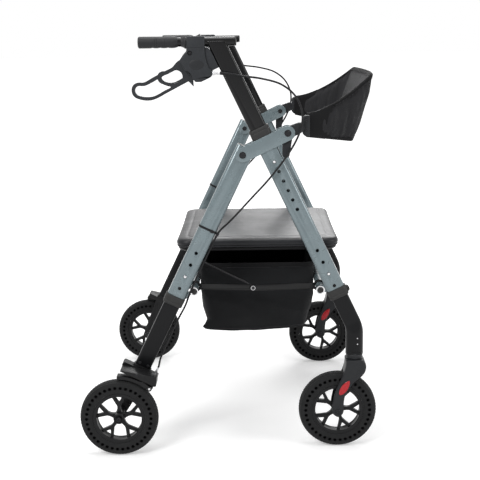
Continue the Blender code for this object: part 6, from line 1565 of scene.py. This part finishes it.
def seat_cushion():
    """The moulded foam pad: tucked under, a parting line round the side, a soft edge and a low crown."""
    rise = CUSHION_EDGE - CUSHION_LOW
    levels = [(0.0, 0.0085), (0.02, 0.0045), (0.07, 0.0016), (0.13, 0.0008), (0.20, 0.0010), (0.24, 0.0012),
              (0.26, 0.0020), (0.28, 0.0012), (0.36, 0.0004), (0.50, 0.0), (0.64, 0.0004), (0.75, 0.0014),
              (0.84, 0.0030), (0.91, 0.0052), (0.96, 0.0078), (1.0, 0.0118)]
    rings = []
    for share, inset in levels:
        outline = seat_outline(inset, max(0.035 - inset * 0.6, 0.01), 0.004 + 0.008 * share)
        rings.append([(u, v, CUSHION_LOW + rise * share) for u, v in outline])
    edge = rings[-1]
    for share in (0.985, 0.96, 0.93, 0.92, 0.91, 0.89, 0.84, 0.76, 0.66, 0.54, 0.42, 0.30, 0.18, 0.08):
        crown = SEAT_CROWN * (1 - share ** 2.6)
        seam = -0.0011 * math.exp(-((share - 0.92) / 0.008) ** 2)
        rings.append([(u * share, v * share, CUSHION_EDGE + 0.0004 + crown + seam) for u, v, _ in edge])
    skin = []
    for ring in rings:
        skin.append([])
        for u, v, z in ring:
            dent = 0.0007 * folds((u, v, z), 11) + 0.0003 * folds((u, v, z), 40, 3.0)
            lift = dent * (z > CUSHION_EDGE - 0.004)
            skin[-1].append(Vector((SEAT_MIDDLE + u * (1 + dent), v * (1 + dent), z + lift)))
    pad = single(lofted("seat_pad", skin, SEAT_SKIN, False, 60), "seat", ["seat_cushion"])


def seat_base():
    """The stiff base: a shallow pan with ribs under it, hinge ears, two screws by each ear and a rubber foot on
    each side.
    """
    levels = [(0.0, 0.0105), (0.0010, 0.0085), (0.0030, 0.0062), (0.0082, 0.0046), (0.0090, 0.0052)]
    rings = [[Vector((SEAT_MIDDLE + u, v, PAN_LOW + h)) for u, v in seat_outline(inset, 0.030)]
             for h, inset in levels]
    parts = [lofted("pan", rings, SATIN_BLACK)]
    high = PAN_LOW + 0.002
    for y in (-0.115, 0.0, 0.115):
        strip = [(-0.105, y - 0.0015), (0.205, y - 0.0015), (0.205, y + 0.0015), (-0.105, y + 0.0015)]
        rib = extruded("rib", strip, PAN_LOW - 0.0070, high, lambda u, v, w: Vector((u, v, w)), SATIN_BLACK)
        parts.append(bevelled(rib, 0.0007, 2))
    x, r = frame_tube_x(SEAT_RAIL_Z, True), CROSS_RADIUS + EAR_WALL
    outline = arc((x, SEAT_RAIL_Z), r, -math.pi, 0, 24) + [(x + r, high), (x - r, high)]
    hole = circle((x, SEAT_RAIL_Z), CROSS_RADIUS + GAP, 40)
    foot = [(0, -0.0100), (0.0062, -0.0100), (0.0074, -0.0088), (0.0080, 0.0), (0, 0.0)]
    foot_x = frame_tube_x(SEAT_RAIL_Z, False) + 0.020
    for side in (-1, 1):
        y = side * EAR_Y
        ear = extruded("ear", outline, y - EAR_HALF, y + EAR_HALF, upright, SATIN_BLACK, [hole])
        parts.append(bevelled(ear, 0.0010, 3))
        for dx in (-0.022, -0.036):
            parts.append(hex_head("screw", (x + dx, y, PAN_LOW), (0, 0, -1), 0.0085, 0.0026, BLACK_BOLT))
        at = (foot_x, side * 0.150, PAN_LOW + 0.001)
        parts.append(revolved("foot", foot, at, SKY, TYRE_RUBBER, 28))
    single(merged("seat_base", *parts), "seat", ["seat_pan"])


def bag_point(outline, turn_share, height):
    """A point of the bag's wall: share of the way round, share of the height up from the bottom's edge."""
    length, width = BAG_FRONT - BAG_REAR, BAG_WIDTH
    u, v = outline[int(turn_share * len(outline)) % len(outline)]
    z = BAG_BOTTOM + (BAG_TOP - BAG_BOTTOM) * height
    taper = 0.024 * (1 - min(height / 0.62, 1)) ** 1.2
    u *= 1 - 2 * taper / length
    v *= 1 - 2 * taper / width
    free_u, free_v = 1 - (2 * u / length) ** 4, 1 - (2 * v / width) ** 4
    low, sag = 1 - height, 0
    if abs(v) < width / 2:
        sag = 0.016 * low ** 3 * (1 - (2 * u / length) ** 2) * (1 - (2 * v / width) ** 2) ** 0.5
    puff = 0.0035 * math.sin(math.pi * min(height / 0.9, 1)) * max(free_u, free_v)
    crease = 0.0070 * folds((u * 1.2, v, z * 0.55), 16) + 0.0022 * folds((u, v, z * 0.4), 42, 5.0)
    crease += 0.0060 * abs(folds((u + z * 0.9, v - z * 0.5, z * 0.6), 13, 9.0)) - 0.0030
    push = (-puff * 0.5 + crease) * min(1.0, low / 0.16)
    if abs(u) / length > abs(v) / width:
        u += math.copysign(min(push, 0.0), u)
    else:
        v += math.copysign(push, v)
    tilt = 0.012 * low ** 2 * (u / length + 0.5)
    return Vector((BAG_MIDDLE + u, v, z - sag + tilt))


def bag_outline():
    """The bag's mouth in plan, in steps of about 5 mm."""
    points = round_rectangle(BAG_FRONT - BAG_REAR, BAG_WIDTH, 0.020, 5)
    dense = []
    for (u0, v0), (u1, v1) in zip(points, points[1:] + points[:1]):
        count = max(1, round(math.dist((u0, v0), (u1, v1)) / 0.005))
        dense += [(u0 + (u1 - u0) * i / count, v0 + (v1 - v0) * i / count) for i in range(count)]
    return dense


def bag():
    """The fabric bag: hemmed mouth, creased walls that sag, a gusset fold at each lower corner."""
    outline, rows = bag_outline(), 44
    count = len(outline)
    rings = [[bag_point(outline, i / count, 1 - k / rows) for i in range(count)] for k in range(rows + 1)]
    edge = rings[-1]
    centre = sum(edge, Vector()) / count
    for share in (0.97, 0.93, 0.86, 0.76, 0.64, 0.50, 0.35, 0.20, 0.08):
        ring = []
        for p in edge:
            q = centre.lerp(p, share)
            u, v = 2 * (q.x - BAG_MIDDLE) / (BAG_FRONT - BAG_REAR), 2 * q.y / BAG_WIDTH
            q.z = BAG_BOTTOM - 0.010 * (1 - u * u) * (1 - v * v) + (p.z - BAG_BOTTOM) * share ** 8
            q.z += 0.0016 * folds((q.x, q.y, 0), 18, 2.0) * (1 - share ** 6)
            ring.append(q)
        rings.append(ring)
    for ring in rings:
        for p in ring:
            away = Vector((p.x - BAG_REAR - 0.026, abs(p.y) - BAG_WIDTH / 2 + 0.026)).length
            pull = max(0.0, 1 - away / 0.030) * max(0.0, 1 - abs(p.z - BAG_BOTTOM - 0.004) / 0.024)
            p.x -= 0.026 * pull
            p.z += 0.004 * pull
            p.x = min(max(p.x, BAG_REAR), BAG_FRONT)
            p.y = max(-BAG_WIDTH / 2, min(BAG_WIDTH / 2, p.y))
    data = bmesh.new()
    levels = [[data.verts.new(p) for p in ring] for ring in rings]
    for first, second in zip(levels, levels[1:]):
        bridged(data, first, second)
    data.faces.new(levels[-1])
    shell = mesh_object("bag_shell", data, BAG_CLOTH, 60)
    modifier = shell.modifiers.new("cloth", "SOLIDIFY")
    modifier.thickness, modifier.offset = 0.0012, -1
    applied(shell, 60)
    hem = [bag_point(outline, i / count, 0.967) for i in range(count)]
    trims = [swept("hem", hem, round_rectangle(0.0024, 0.0125, 0.0009, 2), HEM_CLOTH, SKY, True)]
    for height in (0.938, 0.030):
        path = [bag_point(outline, i / count, height) for i in range(0, count, 2)]
        path = [p + (p - Vector((BAG_MIDDLE, 0, p.z))).normalized() * 0.0005 for p in path]
        trims.append(swept("stitch", path, oval(0.0005, 0.0005, 6), THREAD, SKY, True))
    folded = merged("bag_hem", *trims)
    for piece in (shell, folded):
        single(piece, "root")
        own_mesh(piece)
    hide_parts("bag")


# Backrest
BAND_THICKNESS, BAND_STATIONS, BAND_SHARES = 0.0085, 170, 14
CLOTH_PRESSURE, CLOTH_FRAMES, CLOTH_CAP, CLOTH_VOXEL = 4.0, 20, 0.005, 0.005
CUFF_STATIONS, STITCH_SHARES = 15, (0.070, 0.930)
ARM_OUTER, ARM_HEM, ARM_TIP, FOOT_HOLE = -0.3438, -0.3253, (0.185, 0.8285), 0.0046
POST_X, POST_LOW, POST_HIGH = 0.203, 0.807, 0.858


def band_lines():
    """The band's top and low edges from its left end to its right end, the corners eased."""
    lines = []
    for i in range(BAND_STATIONS + 1):
        walked = 2 * i / BAND_STATIONS - 1
        reach, side = abs(walked), math.copysign(1, walked)
        if reach <= PANEL_SHARE:
            y = PANEL_HALF * reach / PANEL_SHARE
            bow = Vector((PANEL_BOW * (1 - (y / PANEL_HALF) ** 2), 0, 0))
            top, low = PANEL_TOP + bow, PANEL_LOW + bow
        else:
            s = 1 - (reach - PANEL_SHARE) / (1 - PANEL_SHARE)
            y = BAND_HALF - (BAND_HALF - PANEL_HALF) * s
            rise = (PANEL_TOP.z - END_TOP.z) * s ** 1.6
            top = Vector((END_TOP.x + (PANEL_TOP.x - END_TOP.x) * s, 0, END_TOP.z + rise))
            drop = (PANEL_LOW.z - END_LOW.z) * s
            low = Vector((END_LOW.x + (PANEL_LOW.x - END_LOW.x) * s, 0, END_LOW.z + drop))
        lines.append([top + Vector((0, side * y, 0)), low + Vector((0, side * y, 0))])
    for _ in range(7):
        eased = [[(a[k] + 2 * b[k] + c[k]) / 4 for k in (0, 1)]
                 for a, b, c in zip(lines, lines[1:], lines[2:])]
        lines = [lines[0], *eased, lines[-1]]
    return lines


def band_spot(lines, i, share, lift):
    """A point of the band: station along it, share of its height, and distance off its middle surface."""
    top, low = lines[i]
    before, after = lines[max(i - 1, 0)], lines[min(i + 1, BAND_STATIONS)]
    along = after[1].lerp(after[0], share) - before[1].lerp(before[0], share)
    normal = along.cross(top - low).normalized()
    return low.lerp(top, share) + normal * lift


def band_half(share):
    """Half the band's thickness: full in the middle, thin at the hems."""
    edge = min(share, 1 - share)
    return BAND_THICKNESS / 2 * (0.45 + 0.55 * min(1.0, max(edge, 0.0) / 0.10) ** 0.6)


def band_skin(name, lines, stations, low, high, extra, finish, rounded=0.0):
    """A closed skin round the band between two shares of its height, extra thick, its edges rounded."""
    rings = []
    shares = [low + (high - low) * k / BAND_SHARES for k in range(BAND_SHARES + 1)]
    for i in stations:
        faces = []
        for side in (1, -1):
            line = []
            for k, share in enumerate(shares):
                ends = min(k, BAND_SHARES - k) / 2
                ease = 1 - rounded * max(0.0, 1 - ends) ** 2
                line.append(band_spot(lines, i, share, side * (band_half(share) + extra) * ease))
            faces.append(line)
        rings.append(faces[0] + faces[1][::-1])
    return lofted(name, rings, finish, False, 50)


def inflated(obj, still):
    """Cloth under pressure swells the piece; still(point) from 0 to 1 holds sewn edges in place."""
    remesh = obj.modifiers.new("remesh", "REMESH")
    remesh.mode, remesh.voxel_size = "VOXEL", CLOTH_VOXEL
    applied(obj, 60)
    start = [v.co.copy() for v in obj.data.vertices]
    modifier = obj.modifiers.new("cloth", "CLOTH")
    cloth = modifier.settings
    cloth.use_pressure, cloth.uniform_pressure_force = True, CLOTH_PRESSURE
    cloth.tension_stiffness = cloth.compression_stiffness = 12
    cloth.bending_stiffness = 0.5
    cloth.effector_weights.gravity = 0
    scene = bpy.context.scene
    for at in range(1, CLOTH_FRAMES + 1):
        scene.frame_set(at)
    shaped = obj.evaluated_get(bpy.context.evaluated_depsgraph_get()).data
    ends = [v.co.copy() for v in shaped.vertices]
    obj.modifiers.clear()
    scene.frame_set(1)
    for vertex, before, after in zip(obj.data.vertices, start, ends):
        move = after - before
        cap = CLOTH_CAP * (1 - still(before))
        vertex.co = before + move * min(1.0, cap / max(move.length, 1e-9))
    rounder = obj.modifiers.new("rounder", "SUBSURF")
    rounder.levels = 1
    return applied(obj, 180)


def backrest_band():
    """The padded band: swollen panels between hems, wrinkled wings, dark cuffs on the brackets."""
    lines = band_lines()
    every = range(BAND_STATIONS + 1)
    band = band_skin("padded_band", lines, every, 0.0, 1.0, 0.0, BAND_CLOTH)

    def still(point):
        top, low = min(lines[::2], key=lambda line: (point - line[0].lerp(line[1], 0.5)).length)
        share = (point - low).dot(top - low) / (top - low).length_squared
        edge = min(share, 1 - share)
        ends = (BAND_HALF - abs(point.y)) / 0.018
        return 1 - min(1.0, max(0.0, (edge - 0.07) / 0.20)) * min(1.0, max(0.0, ends - 0.7))

    inflated(band, still)
    skin = [(vertex.co.copy(), vertex.normal.copy()) for vertex in band.data.vertices]
    for vertex, (p, n) in zip(band.data.vertices, skin):
        wing = min(1.0, max(0.0, (abs(p.y) - PANEL_HALF + 0.02) / 0.03))
        gathers = 0.0042 * folds((p.x, p.y, p.z * 0.14), 60, 2.0)
        gathers += 0.0014 * folds((p.x, p.y, p.z * 0.3), 130, 4.0)
        plain = folds((p.x * 0.5, p.y, p.z * 0.7), 22, 6.0) * 0.0007
        vertex.co = p + n * (gathers * wing * 0.8 + plain)
    hems = []
    for name, low, high in (("top_hem", 0.937, 1.006), ("low_hem", -0.006, 0.063)):
        hems.append(band_skin(name, lines, every, low, high, 0.0011, HEM_CLOTH, 0.55))
    for side in (1, -1):
        start = BAND_STATIONS - CUFF_STATIONS if side > 0 else 0
        stations = range(start, start + CUFF_STATIONS + 1)
        hems.append(band_skin("cuff", lines, stations, -0.012, 1.012, 0.0019, HEM_CLOTH, 0.4))
    for share in STITCH_SHARES:
        out = band_half(share) + 0.0012
        for lift in (out, -out):
            for i in range(CUFF_STATIONS + 2, BAND_STATIONS - CUFF_STATIONS - 2, 2):
                ends = [band_spot(lines, i + k, share, lift) for k in (0, 1)]
                hems.append(rod("stitch", *ends, 0.00045, THREAD, 5))
    for piece, slot in ((band, "band_cloth"), (merged("band_hems", *hems), "band_cloth")):
        single(piece, "backrest")
    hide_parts("backrest_band")


def backrest_brackets():
    """The moulded arms that carry the band: hinge eye, stop foot, and the bar its cuff slides on."""
    outer, hem = ARM_OUTER, ARM_HEM
    pivot, tip = (BACKREST_PIVOT.x, BACKREST_PIVOT.z), ARM_TIP
    shape = link_outline(pivot, 0.015, tip, 0.0125)
    hole = circle(pivot, HOLE_RADIUS, 28)
    arm = extruded("arm", shape, outer, hem - 0.0005, upright, FORK_PLASTIC, [hole])
    toe = front_point(0.4754, 0.0338, 0)
    shape = link_outline(pivot, 0.013, (toe.x, toe.z), 0.009)
    hole = circle(pivot, FOOT_HOLE, 28)
    foot = extruded("foot", shape, outer + 0.001, hem - 0.0015, upright, FORK_PLASTIC, [hole])
    x, low, high = POST_X, POST_LOW, POST_HIGH
    shape = [(x - 0.011, low + 0.006), (x - 0.005, low), (x + 0.006, low), (x + 0.006, high),
             (x - 0.005, high), (x - 0.011, high - 0.006)]
    bar = extruded("bar", shape, outer + 0.002, hem, upright, FORK_PLASTIC)
    profile = [(0.0044, 0), (0.0088, 0), (0.0088, 0.0006), (0.0082, 0.0010), (0.0044, 0.0010)]
    washer = revolved("washer", profile, (pivot[0], outer - 0.0001, pivot[1]), RIGHT, BLACK_BOLT, 40)
    screws = [hex_head("screw", (x - 0.003, outer + 0.0022, z), RIGHT, 0.0070, 0.0018, BLACK_BOLT)
              for z in (0.8225, 0.8445)]
    parts = [bevelled(piece, 0.0016, 3) for piece in (arm, foot, bar)]
    bracket = merged("bracket", *parts, washer, *screws)
    handed(bracket, "backrest_arm", "backrest", ["backrest_bracket"])


# Assembly
SLOT_FINISH = {
    "frame_paint": FRAME_PAINT, "gloss_black": GLOSS_BLACK, "satin_black": SATIN_BLACK,
    "black_steel": BLACK_STEEL, "grey_plastic": GREY_PLASTIC, "grip_rubber": GRIP_RUBBER,
    "tyre_rubber": TYRE_RUBBER, "rim_plastic": RIM_PLASTIC, "steel": BRIGHT_STEEL,
    "bag_cloth": BAG_CLOTH, "band_cloth": BAND_CLOTH, "cable_black": CABLE_SLEEVE,
    "reflector_red": REFLECTOR_RED, "vinyl": SEAT_SKIN,
}


def dress_cad_nodes():
    """Gives each CAD node that stays the finish of its material slot."""
    for row in frame["record"]["subparts"]:
        obj = frame["nodes"][row["node"]]
        finish = SLOT_FINISH.get(row["material_slot"])
        if finish:
            obj.data.materials.clear()
            obj.data.materials.append(finish)


dress_cad_nodes()
wheels()
frame_tubes()
collars()
cross_members()
braces()
buttons()
handle_posts()
grips()
housings()
levers()
front_legs()
rear_legs()
forks()
reflectors()
rear_brackets()
shoes()
cables()
lift_straps()
seat_cushion()
seat_base()
bag()
backrest_band()
backrest_brackets()
stage()
camera_view()
